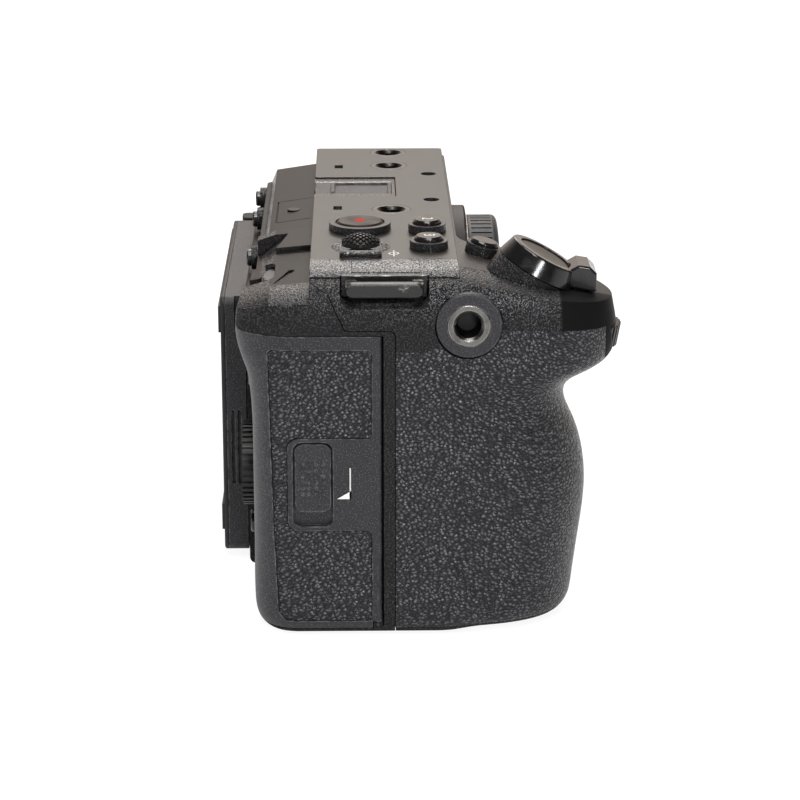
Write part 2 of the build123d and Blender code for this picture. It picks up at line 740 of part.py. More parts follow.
def top_plate():
    """The flat top cover with its collars, holes, shoe well and rounded near end."""
    plate = plate_blank()
    plate -= box(PAD_X[0] - PAD_GROOVE, PAD_X[1], *PAD_Y, TOP - PAD_GROOVE_DEPTH, TOP + 1)
    plate += strap_pad()
    plate += Pos(REC_X, REC_Y, TOP - 1) * rod(REC_COLLAR, REC_HEIGHT + 1)
    for x, y in KEY_PLACES.values():
        plate += Pos(x, y, TOP - 1) * rod(KEY_COLLAR, KEY_HEIGHT + 1)
    guard = rounded_bar(*GUARD_SIZE, GUARD_HEIGHT + 1, GUARD_SIZE[0] / 2 - 0.1)
    guard = chamfer(guard.edges().group_by(Axis.Z)[-1], GUARD_EDGE)
    plate += Pos(GUARD_X, STICK_Y, TOP - 1) * guard
    well = SHOE_FLOOR - SHOE_BASE
    plate += box(-SHOE_OUTER - SHOE_WALL, SHOE_OUTER + SHOE_WALL, SHOE_FRONT - SHOE_WALL, PLATE_REAR,
                 well - SHOE_PAD, PLATE_BOTTOM + 0.5)
    plate -= box(-SHOE_OUTER - SLIDE_GAP, SHOE_OUTER + SLIDE_GAP, SHOE_FRONT - SLIDE_GAP,
                 PLATE_REAR + BEYOND, well - FIT, TOP + BEYOND)
    plate -= button_hole(REC_PLACE, REC_RADIUS, PLATE_THICKNESS + 1, BEYOND)
    for x, y in KEY_PLACES.values():
        plate -= button_hole(Pos(x, y, TOP), KEY_RADIUS, PLATE_THICKNESS + 1, BEYOND)
    for x in TOP_SOCKET_X:
        plate -= Pos(x, SENSOR_FACE, 0) * rod(INSERT_RADIUS + FIT, TOP + BEYOND)
    for side in (-1, 1):
        plate -= Pos(side * MIC_X, MIC_Y, TOP) * rod(MIC_RADIUS, MIC_DEPTH + 1, -MIC_DEPTH)
        plate -= Pos(side * SLOT_X, SLOT_Y, TOP) * Box(*SLOT_SIZE, 2 * SLOT_DEPTH)
    return plate - stick_dish() - strap_room() + stick_posts()


def stick_dish():
    """The dished seat of the joystick with the hole of its stem."""
    radius = sphere_radius(DISH_RADIUS, DISH_DEPTH)
    dish = Pos(0, 0, radius - DISH_DEPTH) * Sphere(radius) & rod(DISH_RADIUS, 2 * DISH_DEPTH, -DISH_DEPTH)
    return Pos(STICK_X, STICK_Y, TOP) * (dish + rod(STICK_HOLE, 2 * PLATE_THICKNESS, -2 * PLATE_THICKNESS))


def stick_posts():
    """The two posts under the top plate that the joystick's cradle tilts in."""
    posts = []
    for side in (-1, 1):
        foot = STICK_PIVOT - POST_SIZE[1] / 2
        height = PLATE_BOTTOM + 0.2 - foot
        post = Pos(STICK_X + side * POST_X, STICK_Y, foot + height / 2) * Box(*POST_SIZE, height)
        bore = Pos(STICK_X + side * POST_X, STICK_Y, STICK_PIVOT) * Rot(0, 90, 0) * Cylinder(CRADLE_PIN + FIT, 3)
        posts.append(post - bore)
    return posts


def rec_button():
    """The large record button."""
    return push_button(REC_PLACE, REC_RADIUS, REC_HEIGHT + REC_PROUD, PLATE_THICKNESS, REC_EDGE)


def key_button(x, y):
    """One of the two small buttons beside the record button."""
    return push_button(Pos(x, y, TOP), KEY_RADIUS, KEY_HEIGHT + KEY_PROUD, PLATE_THICKNESS)


def button_1():
    """The button on the sloping deck behind the zoom lever."""
    return push_button(FIRST, KEY_RADIUS, FIRST_HEIGHT + KEY_PROUD, FIRST_WALL)


def joystick_cradle():
    """The gimbal ring that tilts on pins in the posts under the top plate."""
    ring = rod(CRADLE_OUTER, CRADLE_HEIGHT, -CRADLE_HEIGHT / 2) - rod(CRADLE_INNER, 3, -1.5)
    reach = POST_X + POST_SIZE[0] / 2 - CRADLE_OUTER
    for side in (-1, 1):
        middle = CRADLE_OUTER + (reach - FIT) / 2 - 0.25
        ring += Pos(side * middle, 0, 0) * Rot(0, 90, 0) * Cylinder(CRADLE_PIN, reach)
        ring -= Pos(0, side * CRADLE_OUTER, 0) * Rot(90, 0, 0) * Cylinder(STICK_PIN + FIT, 3)
    return Pos(STICK_X, STICK_Y, STICK_PIVOT) * ring


def stick_cap():
    """The cap of the joystick: a dome whose skin is cut into diamonds by crossing grooves."""
    low, high = STICK_CAP
    drum = rod(STICK_RADIUS, high - low, low)
    radius = sphere_radius(STICK_RADIUS, STICK_DOME)
    dome = drum & Pos(0, 0, high - radius) * Sphere(radius)
    core = drum & Pos(0, 0, high - radius) * Sphere(radius - STICK_GROOVE)
    core += rod(STICK_RADIUS - 0.1, STICK_EDGE, low)
    count = int(STICK_RADIUS / STICK_PITCH)
    cuts = []
    for turn in (45, -45):
        for step in range(-count, count + 1):
            cuts.append(Rot(0, 0, turn) * Pos(step * STICK_PITCH, 0, 0) * Box(STICK_GROOVE, 12, 12))
    return (core + (dome - cuts)).solids().sort_by(SortBy.VOLUME)[-1]


def joystick():
    """The stick with its cap, stem and the pin that rides in the cradle."""
    rise = TOP - STICK_PIVOT
    stem = rod(STICK_STEM, rise + STICK_CAP[0] + 0.6 + 1.1, -1.1)
    pin = Rot(90, 0, 0) * Cylinder(STICK_PIN, 2 * CRADLE_OUTER - 0.4)
    return Pos(STICK_X, STICK_Y, STICK_PIVOT) * (Pos(0, 0, rise) * stick_cap() + stem + pin)


def shoe_rails():
    """The sprung steel channel of the accessory shoe."""
    end = PLATE_REAR + 1
    rails = box(-SHOE_OUTER, SHOE_OUTER, SHOE_FRONT, PLATE_REAR, SHOE_FLOOR - SHOE_BASE, SHOE_TOP)
    rails -= box(-SHOE_SLOT, SHOE_SLOT, SHOE_FRONT + SHOE_BASE, end, SHOE_FLOOR, SHOE_LIP)
    return rails - box(-SHOE_THROAT, SHOE_THROAT, SHOE_FRONT + SHOE_BASE, end, SHOE_FLOOR, TOP + 1)


def shoe_cover():
    """The cover that slides into the shoe from behind, with a thumb ridge."""
    start = SHOE_FRONT + SHOE_BASE + SLIDE_GAP
    end = PLATE_REAR - 0.2
    low = SHOE_FLOOR + FIT
    slot = SHOE_SLOT - SLIDE_GAP
    throat = SHOE_THROAT - SLIDE_GAP
    tray = SHOE_THROAT - COVER_RIM
    tongue = box(-slot, slot, start, end, low, SHOE_LIP - SLIDE_GAP)
    panel = box(-throat, throat, start, end, low, SHOE_TOP - 0.1)
    panel -= box(-tray, tray, start + COVER_RIM, end - COVER_TAIL, SHOE_TOP - COVER_SINK, TOP)
    ridge = box(-tray + COVER_RIM, tray - COVER_RIM, end - COVER_TAIL + 0.2, end - COVER_TAIL + 0.2 + COVER_RIDGE,
                SHOE_TOP - COVER_SINK, SHOE_TOP + 0.2)
    return tongue + panel + ridge


def threaded_insert(length):
    """A 1/4-20 insert whose mouth is at local Z 0 and whose body lies below."""
    insert = rod(INSERT_RADIUS, length, -length) - rod(THREAD_RADIUS, THREAD_DEPTH, -THREAD_DEPTH)
    return chamfer(insert.edges().group_by(Axis.Z)[-1].sort_by(SortBy.LENGTH)[0], THREAD_MOUTH)


def top_sockets():
    """Three threaded inserts in the top plate."""
    return [Pos(x, SENSOR_FACE, TOP) * threaded_insert(TOP_INSERT_LENGTH) for x in TOP_SOCKET_X]


def side_sockets():
    """The threaded inserts in the two sides."""
    return [place * threaded_insert(SIDE_INSERT_LENGTH) for place in (GRIP_SOCKET, PORT_SOCKET)]


def socket_bezels():
    """The plastic rings round the side inserts."""
    ring = rod(BEZEL_RADIUS, BEZEL_DEPTH, -BEZEL_DEPTH) - rod(INSERT_RADIUS + FIT, 5, -4)
    ring = chamfer(ring.edges().group_by(Axis.Z)[-1].sort_by(SortBy.LENGTH)[-1], BEZEL_EDGE)
    return [place * ring for place in (GRIP_SOCKET, PORT_SOCKET)]


def socket_room(place):
    """The bore and counterbore of a side insert and its ring."""
    room = rod(INSERT_RADIUS + FIT, SIDE_INSERT_LENGTH + 2, -SIDE_INSERT_LENGTH - FIT)
    return place * (room + rod(BEZEL_RADIUS + GLUE_GAP, BEZEL_DEPTH + 2, -BEZEL_DEPTH - FIT))


def strap_lug():
    """A strap bar on two posts and a back plate, at its own origin facing -X."""
    height = LUG_BAR_TOP - LUG_BAR_BOTTOM
    bar = Pos(-LUG_REACH, 0, 0) * Box(*LUG_BAR, height)
    bar = fillet(bar.edges().filter_by(Axis.X), height / 2 - 0.1)
    bar = fillet(bar.edges().filter_by(Axis.Y), LUG_EDGE)
    lug = bar + Pos(-LUG_PLATE[0] / 2 - 0.05, 0, 0) * Box(*LUG_PLATE)
    for side in (-1, 1):
        lug += Pos(-LUG_REACH / 2 - 0.1, side * LUG_POST_Y, 0) * Box(*LUG_POST)
    return lug


def strap_lugs():
    """The two strap lugs."""
    middle = (LUG_FRONT + LUG_REAR) / 2
    height = (LUG_BAR_BOTTOM + LUG_BAR_TOP) / 2
    near = Pos(LUG_BACK, middle, height) * strap_lug()
    port = Pos(PORT_SIDE - PORT_LUG_DEPTH, PORT_LUG_Y, PORT_LUG_Z) * Rot(0, 0, 180) * strap_lug()
    return [near, port]


def port_strap_room(wall=0.0):
    """The pocket of the strap lug on the port side, grown by a wall."""
    half = LUG_PLATE[1] / 2 + 0.4 + wall
    height = PORT_LUG_ROOM + wall
    return box(PORT_SIDE - PORT_LUG_DEPTH - wall, PORT_SIDE + BEYOND, PORT_LUG_Y - half, PORT_LUG_Y + half,
               PORT_LUG_Z - height, PORT_LUG_Z + height)


def leather_zone():
    """The outline of the grip leatherette seen from the side."""
    seam = SEAM - SEAM_GAP / 2
    outline = [(-60, LEATHER_BOTTOM), (seam, LEATHER_BOTTOM), (seam, LEATHER_TOP[0][1]), *LEATHER_TOP]
    outline.append((-60, LEATHER_TOP[-1][1]))
    return side_profile(outline, GRIP_SIDE - 2, LEATHER_ROOT)


def leather_room():
    """The shallow pocket of the grip leatherette."""
    return skin(-1.0, LEATHER, leather_zone())


def grip_leather():
    """The leatherette wrapped round the grip."""
    layer = skin(0, LEATHER, leather_zone())
    return layer - GRIP_SOCKET * rod(BEZEL_RADIUS + 2 * GLUE_GAP, 8, -6) - front_dial_room()


# Pieces of the battery and its door
def battery_shape(grow, extra, start):
    """The battery's outline, grown all round, from start upwards."""
    width, depth, height = BATTERY_SIZE
    return Pos(BATTERY_X, BATTERY_Y, 0) * rounded_bar(
        width + 2 * grow, depth + 2 * grow, height + extra, BATTERY_CORNER + grow, start)


def battery():
    """The rechargeable pack."""
    return battery_shape(0, 0, BATTERY_BASE)


def battery_bay():
    """The open-bottomed sleeve that holds the pack."""
    sleeve = battery_shape(BAY_GAP + BAY_WALL, BAY_ROOF, BATTERY_BASE)
    return sleeve - battery_shape(BAY_GAP, BAY_GAP, BATTERY_BASE)


def battery_room():
    """The space in the housing for the bay, open at the bottom."""
    start = -5
    return battery_shape(BAY_GAP + BAY_WALL + GLUE_GAP, BAY_ROOF + BAY_GAP + BATTERY_BASE - start, start)


def battery_hinge(radius, length):
    """A rod on the hinge line of the battery door."""
    middle = sum(BATTERY_DOOR_X) / 2
    return Pos(middle, BATTERY_HINGE_Y, BATTERY_HINGE_Z) * Rot(0, 90, 0) * Cylinder(radius, length)


def battery_door_room():
    """The opening of the battery door in the base."""
    x0, x1 = BATTERY_DOOR_X
    x0 -= 0.2
    x1 += 0.2
    form = grip_form(BATTERY_DOOR_INSET - 0.2) & box(x0, x1, BATTERY_DOOR_FRONT - 0.2, BATTERY_HINGE_Y, 0,
                                                     BATTERY_DOOR + GLUE_GAP)
    form += box(x0, x1, BATTERY_HINGE_Y - 4, BATTERY_HINGE_Y + BATTERY_HINGE_Z + 0.2, -1, BATTERY_DOOR + 0.15)
    form += battery_hinge(BATTERY_PIN + FIT, x1 - x0 + 2 * BATTERY_PIN_REACH - 0.2)
    return form + box(*LATCH_X, *LATCH_Y, 1, BATTERY_BASE)


def battery_door():
    """The door in the base, with hinge pins at its rear end."""
    x0, x1 = BATTERY_DOOR_X
    door = grip_form(BATTERY_DOOR_INSET) & box(x0, x1, BATTERY_DOOR_FRONT, BATTERY_HINGE_Y, 0, BATTERY_DOOR)
    door += battery_hinge(BATTERY_HINGE_Z, x1 - x0)
    door += battery_hinge(BATTERY_PIN, x1 - x0 + 2 * BATTERY_PIN_REACH)
    door -= box(*LATCH_X, *LATCH_Y, -1, LATCH_SINK)
    middle = sum(LATCH_Y) / 2
    left = LATCH_X[0] + 0.2 + LATCH_STEM_PLACE
    slot = (LATCH_STEM[1] + 0.4) / 2
    return door - box(left - 0.2, left + LATCH_STEM[0] + LATCH_TRAVEL + 0.2, middle - slot, middle + slot, 0, 3)


def battery_latch():
    """The sliding lock of the battery door."""
    left = LATCH_X[0] + 0.2
    right = LATCH_X[1] - 0.4 - LATCH_TRAVEL
    middle = sum(LATCH_Y) / 2
    knob = box(left, right, LATCH_Y[0] + 0.2, LATCH_Y[1] - 0.2, 0.1, LATCH_SINK - 0.1)
    pitch = (right - left - 1.6) / LATCH_RIBS
    for step in range(LATCH_RIBS):
        start = left + 1.2 + pitch * step
        knob -= box(start, start + pitch / 3, *LATCH_Y, 0, 0.4)
    stem = Pos(left + LATCH_STEM_PLACE + LATCH_STEM[0] / 2, middle, 1.55) * Box(*LATCH_STEM, 2.1)
    hook = Pos(left + LATCH_STEM_PLACE + LATCH_STEM[0] / 2, middle, BATTERY_DOOR + FIT + LATCH_HOOK[2] / 2)
    return knob + stem + hook * Box(*LATCH_HOOK)


# Pieces of the card door
def door_zone(gap=0.0):
    """The outline of the card door, grown by gap, without the heel under its barrel."""
    front = DOOR_FRONT - gap if gap else DOOR_PIVOT_Y
    zone = box(GRIP_SIDE - 2, DOOR_WRAP + gap, front, REAR + BEYOND, DOOR_BOTTOM - gap, DOOR_TOP + gap)
    heel = box(GRIP_SIDE - 3, DOOR_WRAP, DOOR_FRONT - 1, HEEL_REAR - gap, 0, BARREL_BOTTOM - gap)
    return zone - heel


def door_heel_cut():
    """The corner rounded off the heel so that the door can swing past it."""
    height = BARREL_BOTTOM - DOOR_GAP
    corner = box(GRIP_SIDE - 2, DOOR_PIVOT_X, DOOR_FRONT - DOOR_GAP, HEEL_REAR, DOOR_BOTTOM - DOOR_GAP, height)
    return corner - DOOR_HINGE * rod(BARREL_RADIUS, height)


def door_room():
    """The pocket of the card door in the rear half of the housing."""
    room = skin(-2.0, DOOR_THICKNESS + GLUE_GAP, door_zone(DOOR_GAP))
    pins = DOOR_HINGE * rod(DOOR_PIN + FIT, DOOR_TOP - BARREL_BOTTOM + 2 * DOOR_PIN_REACH,
                            BARREL_BOTTOM - DOOR_PIN_REACH)
    middle = sum(CATCH_Y) / 2
    half = CATCH_PLATE[0] / 2 + 0.6
    inner = box(GRIP_SIDE + DOOR_THICKNESS - 0.2, GRIP_SIDE + DOOR_THICKNESS + 1.4, middle - half, middle + half,
                CATCH_PLATE[1] - CATCH_TRAVEL - 0.6, CATCH_PLATE[2] + 0.6)
    return room + pins + inner + door_heel_cut()


def card_door():
    """The door that wraps round the rear corner, with its hinge barrel and pins."""
    door = skin(0, DOOR_THICKNESS, door_zone())
    door -= skin_of_door()
    slot = box(GRIP_SIDE - 1, GRIP_SIDE + CATCH_DEPTH, CATCH_Y[0] - CATCH_MARGIN, CATCH_Y[1] + CATCH_MARGIN,
               CATCH_Z[0] - CATCH_TRAVEL - 0.2, CATCH_Z[1] + CATCH_MARGIN)
    door -= fillet(slot.edges().filter_by(Axis.X), CATCH_ROUND + 0.15)
    middle = sum(CATCH_Y) / 2
    half = CATCH_STEM[0] / 2 + 0.15
    door -= box(GRIP_SIDE, GRIP_SIDE + 4, middle - half, middle + half, CATCH_STEM[1] - CATCH_TRAVEL - 0.1,
                CATCH_STEM[2] + 0.1)
    door += DOOR_HINGE * rod(BARREL_RADIUS, DOOR_TOP - BARREL_BOTTOM, BARREL_BOTTOM)
    return door + DOOR_HINGE * rod(DOOR_PIN, DOOR_TOP - BARREL_BOTTOM + 2 * DOOR_PIN_REACH - 0.2,
                                   BARREL_BOTTOM - DOOR_PIN_REACH + 0.1)


def skin_panel(gap):
    """The outline of the door's leatherette, one piece that runs behind the catch."""
    low, high = PANEL_NOTCH
    front = PANEL_FRONT + gap
    rear = [(y - gap, z) for y, z in PANEL_EDGE]
    top = rear[0][1] - gap
    bottom = rear[-1][1] + gap
    strip = PANEL_STRIP + gap
    outline = [(front, top), (rear[0][0], top), *rear[1:-1], (rear[-1][0], bottom), (front, bottom),
               (front, low - gap), (strip, low - gap), (strip, high + gap), (front, high + gap)]
    panel = side_profile(outline, GRIP_SIDE - 2, GRIP_SIDE + 6)
    ends = panel.edges().filter_by(Axis.X)
    inner = [edge for edge in ends if abs(edge.center().Y - strip) < 0.01]
    outer = [edge for edge in ends if abs(edge.center().Y - strip) >= 0.01]
    panel = fillet(inner, NOTCH_ROUND)
    outer = [edge for edge in panel.edges().filter_by(Axis.X) if is_corner(edge, outer)]
    return fillet(outer, PANEL_ROUND - gap)


def is_corner(edge, corners):
    """Whether an edge lies where one of the corners does."""
    place = edge.center()
    return any((place - corner.center()).length < 0.01 for corner in corners)


def skin_of_door():
    """The pocket of the leatherette in the card door."""
    return skin(-1.0, DOOR_LEATHER + DOOR_LEATHER_SINK, skin_panel(0))


def door_leather():
    """The leatherette piece glued in the card door, a little below its surface."""
    return skin(DOOR_LEATHER_SINK, DOOR_LEATHER + DOOR_LEATHER_SINK, skin_panel(PANEL_GAP))


def card_latch():
    """The sliding catch with its dotted thumb face."""
    face = GRIP_SIDE + CATCH_SINK
    knob = box(face, GRIP_SIDE + CATCH_DEPTH - 0.1, *CATCH_Y, *CATCH_Z)
    knob = fillet(knob.edges().filter_by(Axis.X), CATCH_ROUND)
    middle = sum(CATCH_Y) / 2
    columns, rows = CATCH_DOTS
    dots = []
    for row in range(rows):
        for column in range(columns):
            y = middle + (column - (columns - 1) / 2) * DOT_PITCH[0]
            z = DOT_TOP - row * DOT_PITCH[1]
            dots.append(facing(face, y, z, (-1, 0, 0), (0, 1, 0)) * rod(DOT_RADIUS, DOT_HEIGHT + 0.1, -0.1))
    half = CATCH_STEM[0] / 2
    stem = box(face, GRIP_SIDE + DOOR_THICKNESS + 0.4, middle - half, middle + half, *CATCH_STEM[1:])
    half = CATCH_PLATE[0] / 2
    back = GRIP_SIDE + DOOR_THICKNESS + FIT
    plate = box(back, back + 0.64, middle - half, middle + half, *CATCH_PLATE[1:])
    return knob + stem + plate + dots


def card_slots():
    """The housing of two card slots that open towards the door."""
    x0, x1 = CARD_X
    y0, y1 = CARD_Y
    z0, z1 = CARD_Z
    block = box(x0, x1, y0 + GLUE_GAP, y1 - GLUE_GAP, z0 + GLUE_GAP, z1 - GLUE_GAP)
    for place in CARD_SLOTS:
        block -= box(x0 - 1, x1 - 2, y0 + place, y0 + place + CARD_THICKNESS, z0 + CARD_END, z1 - CARD_END)
    return block


# Pieces of the rear face and the dials
def knurled_ring(radius, bore, height, start, teeth, depth=KNURL_DEPTH):
    """A ring with straight knurls, cut by evenly spaced grooves."""
    ring = rod(radius, height, start) - rod(bore, height + 2, start - 1)
    width = pi * radius / teeth
    cutter = Pos(radius, 0, start + height / 2) * Box(2 * depth, width, height + 1)
    return ring - [Rot(0, 0, 360 * step / teeth) * cutter for step in range(teeth)]


def control_wheel():
    """The turning ring round the centre button."""
    return WHEEL * knurled_ring(WHEEL_RADIUS, WHEEL_BORE, WHEEL_TOP - WHEEL_LIFT, WHEEL_LIFT, WHEEL_TEETH)


def centre_button():
    """The button inside the control wheel."""
    height, thickness = CENTRE_CAP
    cap = rod(WHEEL_BORE - 0.2, thickness, height)
    cap = fillet(cap.edges().group_by(Axis.Z)[-1], CAP_EDGE)
    return WHEEL * (cap + rod(CENTRE_STEM, height + 0.3 + 1.0, -1.0))


def wheel_room():
    """The well of the control wheel, with the seat and bore of its button."""
    seat = rod(WHEEL_BORE - GLUE_GAP, 1.2, -0.1)
    return WHEEL * (rod(WHEEL_RADIUS + 0.3, 8) - seat + rod(CENTRE_STEM + FIT, 12, -1.9))


def rear_key(x):
    """A small button above the monitor."""
    place = facing(x, UPPER_REAR, REAR_KEY_Z, (0, 1, 0))
    return push_button(place, REAR_KEY_RADIUS, REAR_KEY_PROUD, REAR_KEY_WALL, SMALL_EDGE)


def thumb_place(x, z):
    """The frame of a button beside the monitor."""
    return facing(x, FLAT_REAR - THUMB_KEY_SINK, z, (0, 1, 0))


def thumb_key(x, z):
    """A button on the rear face beside the monitor."""
    return push_button(thumb_place(x, z), THUMB_KEY_RADIUS, THUMB_KEY_PROUD, REAR_KEY_WALL, SMALL_EDGE)


def power_switch():
    """The sliding power switch, shown in its off place."""
    place = facing(SWITCH_X - SWITCH_TRAVEL / 2, SWITCH_FLOOR, SWITCH_Z, (0, 1, 0))
    length, width, height = SWITCH_KNOB
    knob = rounded_bar(length, width, height, 1.2, 0.1)
    for step in (-1, 0, 1):
        knob -= Pos(step * length / 5, 0, height + 0.1) * Box(0.6, width + 1, 0.8)
    return place * (knob + rounded_bar(*SWITCH_STEM, 0.6, -2.0))


def switch_room():
    """The slot of the power switch and of its stem."""
    place = facing(SWITCH_X, SWITCH_FLOOR, SWITCH_Z, (0, 1, 0))
    knob = rounded_bar(SWITCH_KNOB[0] + SWITCH_TRAVEL + 0.4, SWITCH_KNOB[1] + 0.3, 6, 1.3)
    stem = rounded_bar(SWITCH_STEM[0] + SWITCH_TRAVEL + 0.4, SWITCH_STEM[1] + 0.2, 4, 0.7, -2.4)
    return place * (knob + stem)


def rear_dial():
    """The knurled dial under the rear deck cover, on its own short shaft."""
    disc = knurled_ring(DIAL_RADIUS, DIAL_BORE, DIAL_HEIGHT, 0, DIAL_TEETH)
    return Pos(DIAL_X, DIAL_Y, DIAL_Z) * (disc + rod(DIAL_SHAFT, DIAL_HEIGHT + SHAFT_REACH, -SHAFT_REACH))


def rear_dial_room():
    """The well of the rear dial, its shaft bore below."""
    well = rod(DIAL_RADIUS + DIAL_ROOM, DIAL_HEIGHT + 0.5, -0.25)
    return Pos(DIAL_X, DIAL_Y, DIAL_Z) * (well + rod(DIAL_SHAFT + FIT, SHAFT_REACH + 0.8, -SHAFT_REACH - 0.4))


def front_dial():
    """The knurled dial in the nose of the grip."""
    base = -FRONT_DIAL_HEIGHT / 2
    disc = knurled_ring(FRONT_DIAL_RADIUS, DIAL_BORE, FRONT_DIAL_HEIGHT, base, FRONT_DIAL_TEETH)
    return FRONT_DIAL * (disc + rod(DIAL_SHAFT, FRONT_DIAL_HEIGHT + 2 * SHAFT_REACH, base - SHAFT_REACH))


def front_dial_room():
    """The slot of the front dial and its shaft bores."""
    base = -FRONT_DIAL_HEIGHT / 2
    slot = rod(FRONT_DIAL_RADIUS + DIAL_ROOM, FRONT_DIAL_HEIGHT + 0.6, base - 0.3)
    slot += rod(DIAL_SHAFT + FIT, FRONT_DIAL_HEIGHT + 2 * SHAFT_REACH + 0.4, base - SHAFT_REACH - 0.2)
    return FRONT_DIAL * slot


# Pieces of the zoom lever
def zoom_collar():
    """The fixed cone under the zoom lever, with the post that the lever turns on."""
    gap = RING_DEPTH + RING_LIFT
    cone = Pos(0, 0, -(gap + COLLAR_DEPTH) / 2) * Cone(
        COLLAR_RADIUS, RING_BASE_RADIUS + 0.1, COLLAR_DEPTH - gap)
    return SHUTTER * (cone + rod(POST_RADIUS, RING_DEPTH + 0.5 - CAP_WELL, -RING_DEPTH - 0.5))


def zoom_room():
    """What the zoom lever and shutter button need clear above the collar."""
    return SHUTTER * rod(RING_BASE_RADIUS + 0.35, RING_DEPTH + RING_LIFT + 12, -RING_DEPTH - RING_LIFT)


def zoom_stem_room():
    """The bore of the shutter button's stem."""
    return SHUTTER * rod(SHUTTER_STEM + FIT, 14, -SHUTTER_STEM_END - 0.8)


def zoom_lever():
    """The ring lever with its finger tab at the front."""
    height = RING_DEPTH + RIM_TOP
    ring = Pos(0, 0, RIM_TOP - height / 2) * Cone(RING_BASE_RADIUS, RIM_RADIUS, height)
    ring = SHUTTER * fillet(ring.edges().group_by(Axis.Z)[-1], RIM_ROUND)
    tab = side_profile(TAB_OUTLINE, HANDLE_X - TAB_WIDTH / 2, HANDLE_X + TAB_WIDTH / 2)
    tab = fillet(tab.edges().filter_by(Plane.YZ).group_by(Axis.X)[0], RIM_ROUND)
    ring += tab
    ring -= SHUTTER * rod(SHUTTER_RADIUS + 0.15, 8, -CAP_WELL)
    return ring - SHUTTER * rod(POST_RADIUS + FIT, 12, -8)


def shutter_button():
    """The release button with its dished top and stem."""
    cap = rod(SHUTTER_RADIUS, SHUTTER_CAP, -SHUTTER_CAP)
    cap = fillet(cap.edges().group_by(Axis.Z)[-1], SMALL_EDGE)
    radius = sphere_radius(SHUTTER_DISH[0], SHUTTER_DISH[1])
    cap -= Pos(0, 0, radius - SHUTTER_DISH[1]) * Sphere(radius)
    return SHUTTER * (cap + rod(SHUTTER_STEM, SHUTTER_STEM_END - 1.0, -SHUTTER_STEM_END))


# Pieces of the monitor
def hinge_block():
    """The block that swings the monitor, with its pins at top and bottom."""
    block = box(BLOCK_NEAR, PORT_SIDE + 0.2, MONITOR_INNER, MONITOR_OUTER - 0.2, BLOCK_BOTTOM, BLOCK_TOP)
    block = fillet(block.edges().filter_by(Axis.Z), BLOCK_ROUND)
    pin = rod(HINGE_PIN, BLOCK_TOP - BLOCK_BOTTOM + 2 * HINGE_PIN_REACH, BLOCK_BOTTOM - HINGE_PIN_REACH)
    middle = (MONITOR_INNER + MONITOR_OUTER) / 2
    shaft = Pos(BLOCK_NEAR, middle, SWIVEL_Z) * Rot(0, 90, 0) * Cylinder(SWIVEL_RADIUS, 2 * SWIVEL_LENGTH)
    return block + Pos(HINGE_X, HINGE_Y, 0) * pin + shaft


def hinge_room():
    """The notch in the rear corner that the hinge block turns in."""
    return box(BLOCK_NEAR - 0.5, PORT_SIDE + BEYOND, NOTCH_FRONT, REAR + BEYOND, BLOCK_BOTTOM - BLOCK_GAP,
               BLOCK_TOP + BLOCK_GAP)


def hinge_lugs():
    """The pillars above and below the hinge block that carry its pins."""
    pillars = []
    spans = [(MONITOR_BOTTOM, BLOCK_BOTTOM - BLOCK_GAP), (BLOCK_TOP + BLOCK_GAP, MONITOR_TOP)]
    for low, high in spans:
        pillar = box(LUG_NEAR, PORT_SIDE, REAR - 0.2, HINGE_Y + LUG_NOSE, low, high)
        pillars.append(fillet(pillar.edges().filter_by(Axis.Z).group_by(Axis.Y)[-1], LUG_NOSE_ROUND))
    return pillars


def hinge_bores():
    """The bores for the hinge pins."""
    reach = HINGE_PIN_REACH + 0.3
    return Pos(HINGE_X, HINGE_Y, 0) * rod(HINGE_PIN + FIT, BLOCK_TOP - BLOCK_BOTTOM + 2 * reach, BLOCK_BOTTOM - reach)


def monitor_outline(y0, y1):
    """The panel's outline between two depths."""
    panel = box(MONITOR_NEAR, MONITOR_FAR, y0, y1, MONITOR_BOTTOM, MONITOR_TOP)
    return fillet(panel.edges().filter_by(Axis.Y), MONITOR_ROUND)


def monitor_housing():
    """The inner shell of the monitor, with grip grooves in its near end."""
    shell = monitor_outline(MONITOR_INNER, MONITOR_OUTER - COVER_SHELL)
    depth, width = GROOVE_SIZE
    for y in FINGER_GROOVES:
        shell -= box(MONITOR_NEAR - 1, MONITOR_NEAR + depth, y, y + width, *GROOVE_Z)
    length, depth, low = NOTCH_SIZE
    shell -= box(MONITOR_NEAR - 1, MONITOR_NEAR + length, MONITOR_INNER - 1, MONITOR_INNER + depth, low, TOP)
    shell -= box(MONITOR_NEAR + SCREEN_NEAR, MONITOR_FAR - SCREEN_FAR, MONITOR_INNER - 1,
                 MONITOR_INNER + SCREEN_RECESS, *SCREEN_Z)
    middle = (MONITOR_INNER + MONITOR_OUTER) / 2
    return shell - Pos(BLOCK_NEAR, middle, SWIVEL_Z) * Rot(0, 90, 0) * Cylinder(
        SWIVEL_RADIUS + FIT, 2 * SWIVEL_LENGTH + 0.4)


def monitor_cover():
    """The outer cover of the folded monitor, with two raised sills."""
    cover = monitor_outline(MONITOR_OUTER - COVER_SHELL + 0.05, MONITOR_OUTER)
    cover = chamfer(cover.edges().group_by(Axis.Y)[-1], COVER_EDGE)
    for z in SILL_Z:
        cover += box(MONITOR_NEAR + 0.4, MONITOR_FAR - 2.0, MONITOR_OUTER - 0.1, MONITOR_OUTER + SILL_PROUD,
                     z, z + SILL_HEIGHT)
    return cover


def screen():
    """The glass of the monitor, facing the body when folded."""
    edge = 0.2
    return box(MONITOR_NEAR + SCREEN_NEAR + edge, MONITOR_FAR - SCREEN_FAR - edge, MONITOR_INNER + 0.05,
               MONITOR_INNER + SCREEN_RECESS - 0.02, SCREEN_Z[0] + edge, SCREEN_Z[1] - edge)


